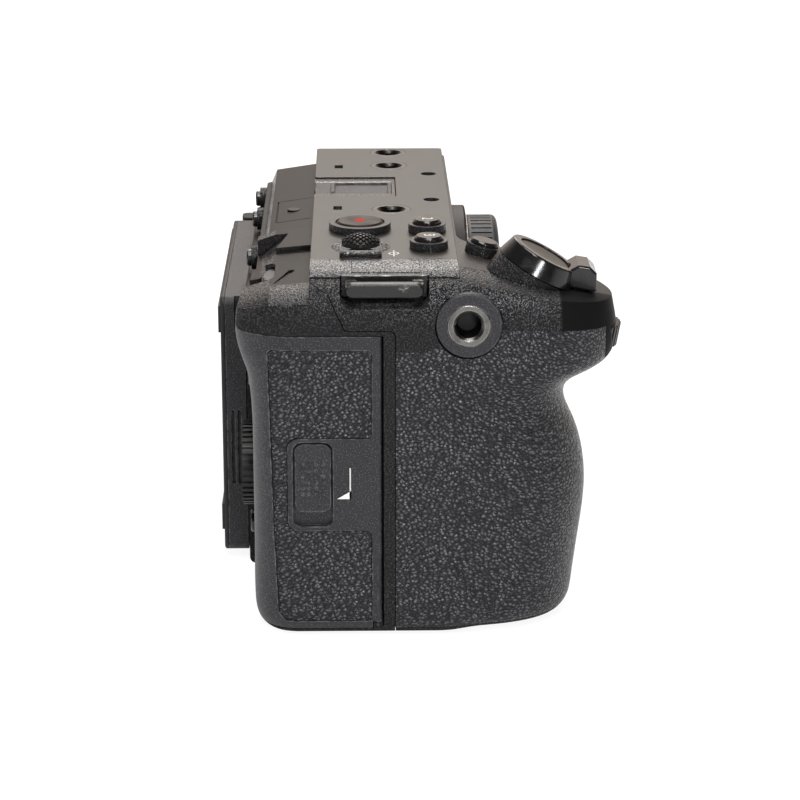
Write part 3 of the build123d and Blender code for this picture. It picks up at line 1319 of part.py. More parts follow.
# Pieces of the port side
def cover_pin(z_range, grow=0.0):
    """The hinge pin of a connector cover."""
    z0, z1 = z_range
    length = z1 - z0 + 2 * COVER_PIN_REACH + grow
    return Pos(COVER_X, COVER_Y[0] + COVER_RADIUS, 0) * rod(COVER_PIN + grow, length, z0 - COVER_PIN_REACH - grow / 2)


def connector_cover(z_range):
    """A cover with a rounded hinge edge at the front and a finger lip at the rear."""
    z0, z1 = z_range
    y0, y1 = COVER_Y
    leaf = box(COVER_X - COVER_RADIUS, COVER_X + COVER_RADIUS, y0 + COVER_RADIUS, y1, z0, z1)
    leaf += Pos(COVER_X, y0 + COVER_RADIUS, z0) * rod(COVER_RADIUS, z1 - z0)
    depth, height = COVER_LIP
    middle = (z0 + z1) / 2
    leaf -= box(COVER_X + 0.2, PORT_SIDE + 1, y1 - depth, y1 + 1, middle - height / 2, middle + height / 2)
    return leaf + cover_pin(z_range)


def cover_well(z_range):
    """The well of a connector cover in the side panel."""
    z0, z1 = z_range
    y0, y1 = COVER_Y
    gap = COVER_GAP
    return box(COVER_X - COVER_RADIUS - gap, PORT_SIDE + BEYOND, y0 - gap, y1 + gap, z0 - gap, z1 + gap)


def terminals():
    """The audio jacks and the video and data sockets on their small board."""
    board, face = PORT_BOARD
    group = box(board, face, *PORT_BOARD_Y, *PORT_BOARD_Z)
    jack = rod(JACK_RADIUS, PORT_MOUTH - face, face) - rod(JACK_BORE, PORT_MOUTH, face + 1.4)
    for z in AUDIO_JACKS:
        group += Pos(0, JACK_Y, z) * Rot(0, 90, 0) * jack
    for y0, y1, z0, z1 in [VIDEO_PORT, *DATA_PORTS]:
        group += box(face, PORT_MOUTH, y0, y1, z0, z1)
        shell = PORT_SHELL
        group -= box(face + 1.5, PORT_MOUTH + 1, y0 + shell, y1 - shell, z0 + shell, z1 - shell)
        middle = (z0 + z1) / 2
        tongue = (z1 - z0) / 10
        group += box(face, PORT_MOUTH - 0.7, y0 + 2 * shell, y1 - 2 * shell, middle - tongue, middle + tongue)
    return group


def side_panel():
    """The port side cover with wells for the connector covers and louvres for the fan."""
    inside = PANEL_X - 1
    panel = box(PANEL_X, PORT_SIDE, *PANEL_Y, *PANEL_Z)
    panel = fillet(panel.edges().filter_by(Axis.X), PANEL_CORNER)
    for z_range in (AUDIO_Z, DATA_Z):
        panel -= cover_well(z_range)
        panel -= cover_pin(z_range, FIT)
    for z in AUDIO_JACKS:
        panel -= Pos(PANEL_X, JACK_Y, z) * Rot(0, 90, 0) * Cylinder(JACK_RADIUS + GLUE_GAP, 4)
    for y0, y1, z0, z1 in [VIDEO_PORT, *DATA_PORTS]:
        panel -= box(inside, PORT_SIDE, y0 - GLUE_GAP, y1 + GLUE_GAP, z0 - GLUE_GAP, z1 + GLUE_GAP)
    count = int((PANEL_Z[1] - PANEL_Z[0] - VENT_START - 2) / VENT_PITCH)
    for step in range(count):
        z = PANEL_Z[0] + VENT_START + step * VENT_PITCH
        panel -= box(inside, PORT_SIDE + 1, *VENT_Y, z, z + VENT_WIDTH)
    return panel


def panel_room():
    """The opening for the side panel."""
    gap = PLATE_GAP
    y0, y1 = PANEL_Y
    z0, z1 = PANEL_Z
    room = box(PANEL_X - 8, PORT_SIDE + 1, y0 - gap, y1 + gap, z0 - gap, z1 + gap)
    return fillet(room.edges().filter_by(Axis.X), PANEL_CORNER + gap)


# Pieces of the base
def bottom_plate():
    """The base plate round the tripod socket."""
    plate = box(*BASE_X, *BASE_Y, 0, BASE_THICKNESS)
    plate = fillet(plate.edges().filter_by(Axis.Z), BASE_CORNER)
    plate -= rod(TRIPOD_RADIUS + FIT, 6, -2)
    sink = rod(SCREW_HEAD + SCREW_PLAY, SCREW_HEAD_HEIGHT + 0.1 + 0.2, -0.2)
    sink += rod(SCREW_SHANK + SCREW_PLAY, BASE_THICKNESS + 2, -1)
    return plate - [place * sink for place in BASE_SCREWS]


def base_room():
    """The recess of the base plate and the bores for the socket and screws."""
    gap = PLATE_GAP
    x0, x1 = BASE_X
    y0, y1 = BASE_Y
    room = box(x0 - gap, x1 + gap, y0 - gap, y1 + gap, -1, BASE_THICKNESS + 0.05)
    room = fillet(room.edges().filter_by(Axis.Z), BASE_CORNER + gap)
    room += rod(TRIPOD_RADIUS + FIT, 10, -1)
    return room + [place * rod(SCREW_SHANK + FIT, FLOOR + 1) for place in BASE_SCREWS]


def tripod_socket():
    """The threaded insert in the base."""
    return rod(TRIPOD_RADIUS, TRIPOD_LENGTH) - rod(THREAD_RADIUS, THREAD_DEPTH)


def screw(length):
    """A flat-head cross-slot screw with its head face at local Z 0, shank below."""
    body = rod(SCREW_HEAD, SCREW_HEAD_HEIGHT, -SCREW_HEAD_HEIGHT) + rod(SCREW_SHANK, length, -length)
    return body - [Rot(0, 0, turn) * Box(*SCREW_CROSS) for turn in (0, 90)]


def case_screws():
    """The four screws of the base plate."""
    return [place * Rot(180, 0, 0) * screw(BASE_SCREW_LENGTH) for place in BASE_SCREWS]


# Pieces of the lens mount
def sector(inner, outer, span, turn, start, height):
    """A sector of a ring on the local Z axis."""
    blank = rod(outer, height, start) - rod(inner, height + 2, start - 1)
    reach = 2 * outer
    half = radians(span / 2)
    corners = [(0, 0), (reach * cos(half), -reach * sin(half)), (reach * cos(half), reach * sin(half))]
    wedge = extrude(Pos(0, 0, start - 1) * make_face(Polyline(*corners, close=True)), height + 2)
    return Rot(0, 0, turn) * (blank & wedge)


def lens_mount_ring():
    """The bright bayonet ring with three claws."""
    ring = rod(RING_RADIUS, RING_THICKNESS, -RING_THICKNESS) - rod(CLAW_INNER, 4, -3)
    ring = chamfer(ring.edges().group_by(Axis.Z)[-1].sort_by(SortBy.LENGTH)[-1], BEZEL_EDGE)
    for step in range(3):
        ring += sector(THROAT_RADIUS, CLAW_INNER + 0.08, CLAW_SPAN, 90 + 120 * step, -CLAW_THICKNESS,
                       CLAW_THICKNESS)
    ring = LENS * ring
    sink = rod(SCREW_HEAD + SCREW_PLAY, 2, -SCREW_HEAD_HEIGHT - 0.05)
    sink += rod(SCREW_SHANK + SCREW_PLAY, 6, -4)
    ring -= [place * sink for place in RING_SCREWS]
    return ring - PIN_PLACE * rod(LOCK_PIN_RADIUS + FIT, 6, -4)


def mount_screws():
    """The four screws of the bayonet ring."""
    return [place * screw(RING_SCREW_LENGTH) for place in RING_SCREWS]


def boss():
    """The round boss of the lens mount."""
    height = FRONT - FLANGE - RING_PROUD + 3
    body = rod(BOSS_RADIUS, height, -RING_PROUD - height)
    return LENS * fillet(body.edges().group_by(Axis.Z)[-1], BOSS_ROUND)


def mount_room():
    """The throat, the seats of ring and claws, and the bores for screws and lock pin."""
    room = rod(THROAT_RADIUS, 12, -THROAT_DEPTH)
    room += rod(CLAW_INNER + GLUE_GAP, 8, -CLAW_ROOM)
    room += rod(RING_RADIUS + FIT, 8, -RING_THICKNESS)
    room = LENS * room
    room += [place * rod(SCREW_SHANK + FIT, 8, -RING_SCREW_LENGTH - 0.2) for place in RING_SCREWS]
    return room + PIN_PLACE * rod(LOCK_PIN_RADIUS + FIT, 12, -9.0)


def lens_contacts():
    """The contact block at the bottom of the throat."""
    inner, span, height = CONTACT_RING
    block = sector(inner, THROAT_RADIUS - 0.15, span, -90, -CONTACT_FLOOR, height)
    for step in range(CONTACTS):
        turn = -90 + (step - (CONTACTS - 1) / 2) * CONTACT_STEP
        block += Rot(0, 0, turn) * Pos(inner + 1.3, 0, height - CONTACT_FLOOR) * Box(1.6, 0.8, 0.5)
    return LENS * block


def body_cap():
    """The ribbed cap that twists into the bayonet."""
    start = CAP_GAP
    skirt, reach = CAP_SKIRT
    cap = rod(CAP_RADIUS, CAP_DEPTH - start, start)
    cap = fillet(cap.edges().group_by(Axis.Z)[-1], CAP_ROUND)
    cap -= rod(CAP_HOLLOW, BEYOND, CAP_DEPTH - CAP_FACE - BEYOND)
    cap += rod(THROAT_RADIUS - 0.15, CAP_DEPTH + reach - 1.6, -reach)
    cap -= rod(skirt, CAP_DEPTH - CAP_FACE + 10, -10)
    for step in range(3):
        cap += sector(skirt + 1.2, TAB_RADIUS, TAB_SPAN, 90 + 120 * step, -reach, TAB_THICKNESS)
    cap -= rod(PIN_DISTANCE + 1.5, 2.0, start - 0.1) - rod(PIN_DISTANCE - 1.5, 4, start - 1)
    cap -= rod(CAP_FACE_RADIUS, 0.5, CAP_DEPTH - 0.4)
    width, depth = CAP_RIB_GROOVE
    groove = Pos(CAP_RADIUS, 0, CAP_DEPTH / 2 - 0.4) * Box(2 * depth, width, CAP_DEPTH - 2.4)
    return LENS * (cap - [Rot(0, 0, 360 * step / CAP_RIBS) * groove for step in range(CAP_RIBS)])


def lens_release_button():
    """The round button that draws back the lock pin."""
    depth = WALL_FRONT + FIT + STOP_THICKNESS
    cap = rod(RELEASE_RADIUS, RELEASE_PROUD + depth, -depth)
    cap = fillet(cap.edges().group_by(Axis.Z)[-1], RELEASE_EDGE)
    return RELEASE * (cap + rod(RELEASE_RADIUS + STOP_FLANGE, STOP_THICKNESS, -depth))


def lock_pin():
    """The spring pin that locks a lens, drawn back by the release button."""
    pin = rod(LOCK_PIN_RADIUS, LOCK_PIN_LENGTH, LOCK_PIN_PROUD - LOCK_PIN_LENGTH)
    return PIN_PLACE * fillet(pin.edges().group_by(Axis.Z)[-1], SMALL_EDGE)


# Pieces inside, and the housing round them
def cavity():
    """The space inside both halves of the housing."""
    x0, x1 = CAVITY_X
    room = box(x0, x1, *CAVITY_Y, FLOOR, CAVITY_TOP)
    room += box(x0, x1, CAVITY_Y[0], UPPER_REAR - REAR_KEY_WALL, CAVITY_TOP - 1, UPPER_CAVITY_TOP)
    room -= box(x0 - 1, STEP_X + WALL, DIAL_POCKET[0][1] - WALL, REAR, CAVITY_TOP + 2, UPPER_CAVITY_TOP + 1)
    room += box(*STICK_CAVITY, PLATE_BOTTOM + 1)
    return room - port_strap_room(WALL)


def image_sensor():
    """The image sensor with its cover glass."""
    width, height, depth = SENSOR_SIZE
    middle = Pos(0, SENSOR_FACE, LENS_HEIGHT)
    chip = middle * Pos(0, depth / 2, 0) * Box(width + 2 * SENSOR_FRAME, depth, height + 2 * SENSOR_FRAME)
    glass = middle * Pos(0, -SENSOR_GLASS / 2 + 0.05, 0) * Box(width, SENSOR_GLASS + 0.1, height)
    return chip + glass


def sensor_carriage():
    """The plate that carries the sensor on four posts behind the lens mount."""
    front = SENSOR_FACE + SENSOR_SIZE[2] + 0.05
    half_x, half_z, thickness = CARRIAGE_SIZE
    plate = box(-half_x, half_x, front, front + thickness, LENS_HEIGHT - half_z, LENS_HEIGHT + half_z)
    plate = fillet(plate.edges().filter_by(Axis.Y), 3.0)
    length = front - CAVITY_Y[0]
    for x in (-CARRIAGE_POSTS[0], CARRIAGE_POSTS[0]):
        for z in (-CARRIAGE_POSTS[1], CARRIAGE_POSTS[1]):
            plate += Pos(x, CAVITY_Y[0] + length / 2 + 0.1, LENS_HEIGHT + z) * Rot(90, 0, 0) * Cylinder(
                CARRIAGE_POST, length)
    return plate


def main_board():
    """The main circuit board on four posts from the rear housing."""
    board = box(*BOARD_X, BOARD_Y, BOARD_Y + BOARD_THICKNESS, *BOARD_Z)
    for x, z in BOARD_POSTS:
        board -= Pos(x, BOARD_Y, z) * Rot(90, 0, 0) * Cylinder(BOARD_HOLE, 6)
    for x0, x1, z0, z1, height in CHIPS:
        board += box(x0, x1, BOARD_Y - height, BOARD_Y, z0, z1)
    return board


def board_posts():
    """The posts of the rear housing that carry the board."""
    start = BOARD_Y + BOARD_THICKNESS + 0.05
    length = CAVITY_Y[1] - start + 0.5
    post = Rot(90, 0, 0) * Cylinder(BOARD_POST, length)
    return [Pos(x, start + length / 2, z) * post for x, z in BOARD_POSTS]


def heat_sink():
    """The finned plate between board and fan."""
    face = BOARD_Y + BOARD_THICKNESS + 0.1
    sink = box(*SINK_X, face, face + SINK_PLATE, *SINK_Z)
    width, depth = FIN_SIZE
    for step in range(SINK_FINS):
        x = SINK_X[0] + 2.0 + step * FIN_PITCH
        sink += box(x, x + width, face + SINK_PLATE - 0.1, face + SINK_PLATE + depth, SINK_Z[0] + 2, SINK_Z[1] - 2)
    return sink


def fan_housing():
    """The square frame of the cooling fan, open towards the louvres."""
    face = BOARD_Y + BOARD_THICKNESS + SINK_PLATE + 0.2
    frame = box(FAN_X - FAN_HALF, FAN_X + FAN_HALF - 1, face, face + FAN_DEPTH, FAN_Z - FAN_HALF, FAN_Z + FAN_HALF)
    frame -= Pos(FAN_X, face + 1.0 + FAN_DEPTH / 2, FAN_Z) * Rot(90, 0, 0) * Cylinder(FAN_WELL, FAN_DEPTH)
    frame -= box(FAN_X, FAN_X + BEYOND, face + 1.3, face + FAN_DEPTH - 1.1, FAN_Z - FAN_DUCT, FAN_Z + FAN_DUCT)
    axle = Pos(FAN_X, face + 2.9, FAN_Z) * Rot(90, 0, 0) * Cylinder(FAN_AXLE, 5.6)
    return frame + axle


def fan_rotor():
    """The fan rotor with seven tilted blades."""
    hub = rod(FAN_HUB, FAN_HUB_HEIGHT) - rod(FAN_AXLE + FIT, 6, -1)
    blade = Pos(FAN_HUB + BLADE_SIZE[0] / 2 - 0.5, 0, FAN_HUB_HEIGHT / 2) * Rot(BLADE_TURN, 0, 0) * Box(*BLADE_SIZE)
    for step in range(FAN_BLADES):
        hub += Rot(0, 0, 360 * step / FAN_BLADES) * blade
    face = BOARD_Y + BOARD_THICKNESS + SINK_PLATE + 0.2
    return facing(FAN_X, face + 1.6, FAN_Z, (0, 1, 0)) * hub


def tally_lamp():
    """The lamp window in the panel behind the shoe."""
    return Pos(LAMP_X, LAMP_Y, LAMP_TOP) * rod(LAMP_RADIUS, LAMP_HEIGHT, -LAMP_HEIGHT)


def lamp_room():
    """The seat of the lamp and the shallow panel recess round it."""
    seat = Pos(LAMP_X, LAMP_Y, LAMP_TOP) * rod(LAMP_RADIUS + FIT, 4, -LAMP_HEIGHT - 0.1)
    x0, x1, y0, y1 = LAMP_PANEL
    groove = box(x0, x1, y0, y1, LAMP_TOP - 2, TOP)
    groove -= box(x0 + LAMP_SEAM, x1 - LAMP_SEAM, y0 - 1, y1 - LAMP_SEAM, LAMP_TOP - 3, TOP + 1)
    slope = side_profile([(y0 - 1, PORT_DECK[0][1] - LAMP_SEAM), (PORT_DECK[1][0], PORT_DECK[1][1] - LAMP_SEAM),
                          (PORT_DECK[1][0], TOP), (y0 - 1, TOP)], x0 - 1, x1 + 1)
    return seat + (groove & slope)


def housing_cuts():
    """Everything cut from both halves of the housing."""
    cuts = [dial_pocket(), thumb_groove(), strap_room(), port_strap_room(), cavity(), mount_room()]
    cuts += [battery_room(), battery_door_room(), panel_room(), base_room(), hinge_room(), hinge_bores()]
    cuts += [socket_room(GRIP_SOCKET), socket_room(PORT_SOCKET), rear_dial_room(), front_dial_room()]
    cuts += [Pos(x, SENSOR_FACE, PLATE_BOTTOM - 6) * rod(INSERT_RADIUS + 0.2, 8) for x in TOP_SOCKET_X]
    cuts += [button_hole(FIRST, KEY_RADIUS, FIRST_WALL, 8), flange_room(FIRST, KEY_RADIUS, FIRST_WALL)]
    cuts += [button_hole(RELEASE, RELEASE_RADIUS, WALL_FRONT + 0.5, 5), lamp_room()]
    cuts.append(box(-SHOE_OUTER - SHOE_WALL - 0.2, SHOE_OUTER + SHOE_WALL + 0.2, SHOE_FRONT - SHOE_WALL - 0.2,
                    PLATE_REAR + PLATE_GAP, SHOE_FLOOR - SHOE_BASE - SHOE_PAD - 0.15, TOP + BEYOND))
    return cuts


def rear_cuts():
    """What is cut from the rear half alone."""
    cuts = [door_room(), wheel_room(), switch_room()]
    cuts.append(box(GRIP_SIDE + 1.8, CARD_X[1] + 0.5, *CARD_Y, *CARD_Z))
    for x in REAR_KEYS.values():
        place = facing(x, UPPER_REAR, REAR_KEY_Z, (0, 1, 0))
        cuts.append(button_hole(place, REAR_KEY_RADIUS, REAR_KEY_WALL, 4))
        cuts.append(flange_room(place, REAR_KEY_RADIUS, REAR_KEY_WALL))
    for x, z in THUMB_KEYS.values():
        cuts.append(button_hole(thumb_place(x, z), THUMB_KEY_RADIUS, REAR_KEY_WALL, 4))
        cuts.append(flange_room(thumb_place(x, z), THUMB_KEY_RADIUS, REAR_KEY_WALL))
    return cuts


def housing():
    """The closed outer form of the housing, before it is cut."""
    form = grip_form() + block_form() + boss()
    form -= roof_cut()
    collar = zoom_collar() & box(GRIP_SIDE - 5, GRIP_ROOT, -60, 20, FRONT_DIAL_Z + 3, TOP + BEYOND)
    form = form - zoom_room() + collar
    form += FIRST * rod(FIRST_COLLAR, FIRST_HEIGHT + 2.0, -2.0)
    for x in REAR_KEYS.values():
        place = facing(x, UPPER_REAR, REAR_KEY_Z, (0, 1, 0))
        form += place * rod(REAR_KEY_COLLAR, REAR_KEY_COLLAR_HEIGHT + 1.0, -1.0)
    return form + hinge_lugs() - zoom_stem_room()


def front_case(form):
    """The front half of the housing."""
    return (form & front_zone(SEAM_GAP / 2)) - housing_cuts() - leather_room()


def rear_case(form):
    """The rear half of the housing."""
    half = form - front_zone(-SEAM_GAP / 2)
    half -= housing_cuts() + rear_cuts()
    return half + board_posts()


def make_parts():
    """Every piece under the name it goes by."""
    form = housing()
    parts = {
        "front_case": front_case(form),
        "rear_case": rear_case(form),
        "top_plate": top_plate(),
        "bottom_plate": bottom_plate(),
        "side_panel": side_panel(),
        "grip_leather": grip_leather(),
        "strap_lugs": strap_lugs(),
        "side_sockets": side_sockets(),
        "socket_bezels": socket_bezels(),
        "top_sockets": top_sockets(),
        "tripod_socket": tripod_socket(),
        "shoe_rails": shoe_rails(),
        "shoe_cover": shoe_cover(),
        "lens_mount_ring": lens_mount_ring(),
        "mount_screws": mount_screws(),
        "lens_contacts": lens_contacts(),
        "body_cap": body_cap(),
        "lens_release_button": lens_release_button(),
        "lock_pin": lock_pin(),
        "image_sensor": image_sensor(),
        "sensor_carriage": sensor_carriage(),
        "main_board": main_board(),
        "heat_sink": heat_sink(),
        "fan_housing": fan_housing(),
        "fan_rotor": fan_rotor(),
        "battery": battery(),
        "battery_bay": battery_bay(),
        "battery_door": battery_door(),
        "battery_latch": battery_latch(),
        "card_slots": card_slots(),
        "card_door": card_door(),
        "door_leather": door_leather(),
        "card_latch": card_latch(),
        "rec_button": rec_button(),
        "button_1": button_1(),
        "joystick_cradle": joystick_cradle(),
        "joystick": joystick(),
        "zoom_lever": zoom_lever(),
        "shutter_button": shutter_button(),
        "front_dial": front_dial(),
        "rear_dial": rear_dial(),
        "control_wheel": control_wheel(),
        "centre_button": centre_button(),
        "power_switch": power_switch(),
        "hinge_block": hinge_block(),
        "monitor_housing": monitor_housing(),
        "monitor_cover": monitor_cover(),
        "screen": screen(),
        "audio_cover": connector_cover(AUDIO_Z),
        "data_cover": connector_cover(DATA_Z),
        "terminals": terminals(),
        "case_screws": case_screws(),
        "tally_lamp": tally_lamp(),
    }
    for name, place in KEY_PLACES.items():
        parts[name] = key_button(*place)
    for name, x in REAR_KEYS.items():
        parts[name] = rear_key(x)
    for name, place in THUMB_KEYS.items():
        parts[name] = thumb_key(*place)
    return parts


def write_parts():
    """One file for each piece."""
    os.makedirs("parts", exist_ok=True)
    for name, piece in make_parts().items():
        solids = piece if isinstance(piece, list) else piece.solids()
        shape = solids[0] if len(solids) == 1 else Compound(children=list(solids))
        export_step(shape, "parts/" + name + ".step")


write_parts()
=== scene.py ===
import json
from math import cos, pi, radians, sin

import bmesh
import bpy
from mathutils import Matrix, Vector


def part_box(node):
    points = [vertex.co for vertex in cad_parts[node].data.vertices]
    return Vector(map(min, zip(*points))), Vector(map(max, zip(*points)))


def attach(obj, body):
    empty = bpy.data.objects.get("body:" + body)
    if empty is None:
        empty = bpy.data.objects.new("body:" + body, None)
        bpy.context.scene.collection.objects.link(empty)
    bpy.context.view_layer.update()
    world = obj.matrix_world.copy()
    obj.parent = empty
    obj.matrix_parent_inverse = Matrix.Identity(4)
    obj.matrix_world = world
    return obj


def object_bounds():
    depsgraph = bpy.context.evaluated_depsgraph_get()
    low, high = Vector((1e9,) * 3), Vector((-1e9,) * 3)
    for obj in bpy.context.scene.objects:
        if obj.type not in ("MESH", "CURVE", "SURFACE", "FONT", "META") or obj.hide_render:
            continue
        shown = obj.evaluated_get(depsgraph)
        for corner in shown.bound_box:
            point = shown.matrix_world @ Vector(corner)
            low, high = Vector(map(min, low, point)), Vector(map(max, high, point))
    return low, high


# The dressed cinema camera: materials, markings, floor, light and camera.
# Lengths are in millimetres and are turned into metres by MM. The camera, the lamps and the floor are in metres.
MM = 0.001
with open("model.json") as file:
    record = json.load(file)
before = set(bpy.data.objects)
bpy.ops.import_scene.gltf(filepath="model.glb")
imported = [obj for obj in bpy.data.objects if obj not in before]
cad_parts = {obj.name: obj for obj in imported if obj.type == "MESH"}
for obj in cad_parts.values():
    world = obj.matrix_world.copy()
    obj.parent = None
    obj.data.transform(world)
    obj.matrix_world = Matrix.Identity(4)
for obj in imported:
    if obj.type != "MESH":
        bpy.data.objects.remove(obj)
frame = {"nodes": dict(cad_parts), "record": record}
cad_low, cad_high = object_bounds()

# Camera, solved from the photograph
CAMERA_AT = (-0.60627, 0.01269, 0.21516)
CAMERA_LOOKS = (0.95426, -0.01581, -0.29856)
CAMERA_LENS = 119.25
SENSOR_WIDTH = 36.0
CLIP = (0.01, 30.0)

# Colours, linear
BLACK_PAINT = (0.014, 0.0135, 0.014)
PLATE_BLACK = (0.016, 0.0155, 0.016)
# Painted top light: flat tops of the black paint take this lighter, warm grey
LIT_TOP_GREY = (0.032, 0.0272, 0.023)
# Painted glints on the casting's slopes
PAINTED_GLINT_CASTING = (0.09, 0.09, 0.1)
NOSE_BLACK = (0.006, 0.006, 0.0065)
BARREL_BLACK = (0.006, 0.0055, 0.005)
SATIN_BLACK = (0.0165, 0.0165, 0.0185)
GLOSS_BLACK = (0.012, 0.012, 0.013)
# Painted glints on satin plastic
PAINTED_GLINT_SATIN = (0.16, 0.16, 0.19)
# Lighter edges of satin plastic: rubbing and painted edge highlight
EDGE_WEAR_AND_HIGHLIGHT_GREY = (0.22, 0.21, 0.2)
LEATHER_BLACK = (0.032, 0.032, 0.037)
# Painted highlight on the crowns of the leatherette's pebbles
LEATHER_CROWN_HIGHLIGHT = (0.125, 0.127, 0.146)
WARM_GREY = (0.045, 0.041, 0.035)
MARK_WHITE = (0.75, 0.75, 0.73)
MARK_RED = (0.42, 0.014, 0.008)
STEEL = (0.62, 0.59, 0.55)
RUBBED_STEEL = (0.62, 0.58, 0.52)

# Sizes of the textures
PEBBLE = 0.74
PEBBLE_RELIEF = 0.3
COARSE_GRAIN = 0.34
FINE_GRAIN = 0.22
GRAIN_DEPTH = 0.13

# Regions of the housing's paint. Each pair is where a blend starts and where it ends.
PLATE_END = -68.2
END_BLEND_X = (PLATE_END - 0.5, PLATE_END)
END_REACH = 20.0
END_ROUND = 34.0
END_DULL_Y = (5.0, 9.0)
NOSE_Y = (-29.4, -29.0)
BARREL_X = (-45.0, -44.0)
BARREL_Y = (-9.6, -9.3)
# The rear ledge, whose flat top takes painted shade
LEDGE_Y = (14.2, 14.8)

# Marks and figures
CIRCLE_STEPS = 36
MARK_HEIGHT = 0.03
MARK_SINK = 0.005
PLANE_MARK_AT = (-63.7, 5.0)
PLANE_RADIUS = 1.0
PLANE_LINE = 0.28
PLANE_HALF = 2.5
FIGURE_SIZE = 3.4
TILTED_FIGURE_SIZE = 3.2
BUTTON_TILT = 15.0
BUTTON_RADIUS = 2.9
REC_DISC_RADIUS = 1.15
ARROW_Y = (14.25, 14.55)
ARROW_Z = (31.1, 37.9)
ARROW_TIP = (17.2, 32.9)

# Stand sockets: X of the top ones and their Y, then Y and Z of the side ones
TOP_SOCKETS_X = (-23.0, 23.0, 38.0)
TOP_SOCKETS_Y = 5.0
GRIP_SOCKET_AT = (-10.0, 68.2)
PORT_SOCKET_AT = (-0.5, 63.0)
THREAD_RADIUS = 2.57
THREAD_HEIGHT = 0.26
THREAD_PITCH = 1.27
THREAD_START = 0.75
THREAD_END = 5.6
THREAD_STEPS = 28
THREAD_ROOT = 0.47
THREAD_CREST = 0.07
BORE_FLOOR_RADIUS = 2.56
BORE_FLOOR_DEPTH = 5.9
BORE_FLOOR_HEIGHT = 0.04

# Floor and world
FLOOR_HALF = 6.0
FLOOR_DROP = 0.00002
FLOOR_PALE = (0.86, 0.86, 0.86)
FLOOR_GLOW = 1.15
FLOOR_SHADOW = 0.22
FLOOR_FILL = 0.5
WORLD_SEEN = 1.0
WORLD_OVERHEAD = 0.1
WORLD_NEAR_SIDE = 0.06
WORLD_LIGHT = 0.16
WORLD_COLOR = (1.0, 0.995, 0.985)
WORLD_MIRRORED = (1.0, 0.86, 0.76)

# Lamps: name, place, width, height, power, colour and whether glossy surfaces mirror them
LAMPS = (
    ("overhead", (-0.15, 0.0, 0.85), 0.35, 0.5, 4.5, (1.0, 0.97, 0.93), True),
    ("front", (-0.95, -0.15, 0.4), 0.16, 0.16, 4.0, (0.97, 0.98, 1.0), True),
    ("side", (-0.6, 0.1, 0.8), 0.2, 0.2, 2.5, (1.0, 0.98, 0.97), True),
    ("back", (0.5, 0.0, 0.6), 0.25, 0.6, 2.5, (1.0, 0.97, 0.93), True),
    ("rear_fill", (0.15, 0.95, 0.4), 0.5, 0.35, 5.0, (1.0, 0.98, 0.96), False),
    ("port_fill", (0.9, -0.35, 0.4), 0.4, 0.35, 5.0, (1.0, 0.98, 0.96), False),
)

# Directions
UP = (0, 0, 1)
USER_RIGHT = (-1, 0, 0)
PORT = (1, 0, 0)
GRIP_SIDE = (-1, 0, 0)
REARWARD = (0, 1, 0)


# Node helpers
class Nodes:
    """Short calls for the nodes of one tree."""

    def __init__(self, tree):
        self.tree = tree

    def put(self, socket, value):
        """Links the value to the socket if it is an output, and sets it there otherwise."""
        if isinstance(value, bpy.types.NodeSocket):
            self.tree.links.new(value, socket)
        else:
            socket.default_value = value

    def node(self, kind, inputs=None, **settings):
        made = self.tree.nodes.new(kind)
        for name, value in settings.items():
            setattr(made, name, value)
        for name, value in (inputs or {}).items():
            self.put(made.inputs[name], value)
        return made

    def math(self, operation, first, second):
        return self.node("ShaderNodeMath", {0: first, 1: second}, operation=operation).outputs[0]

    def spread(self, value, low, high, to_low=0.0, to_high=1.0, curve="LINEAR"):
        """The value mapped from one range to another, clamped."""
        inputs = {"Value": value, "From Min": low, "From Max": high, "To Min": to_low, "To Max": to_high}
        return self.node("ShaderNodeMapRange", inputs, interpolation_type=curve).outputs["Result"]

    def tint(self, factor, first, second):
        """A colour between two, each of them an output or three numbers."""
        made = self.node("ShaderNodeMix", {"Factor": factor}, data_type="RGBA")
        for socket, value in ((made.inputs[6], first), (made.inputs[7], second)):
            self.put(socket, value if isinstance(value, bpy.types.NodeSocket) else (*value, 1.0))
        return made.outputs[2]

    def tint_value(self, factor, first, second):
        """A value between two, each of them an output or a number."""
        return self.node("ShaderNodeMix", {0: factor, 2: first, 3: second}).outputs[0]


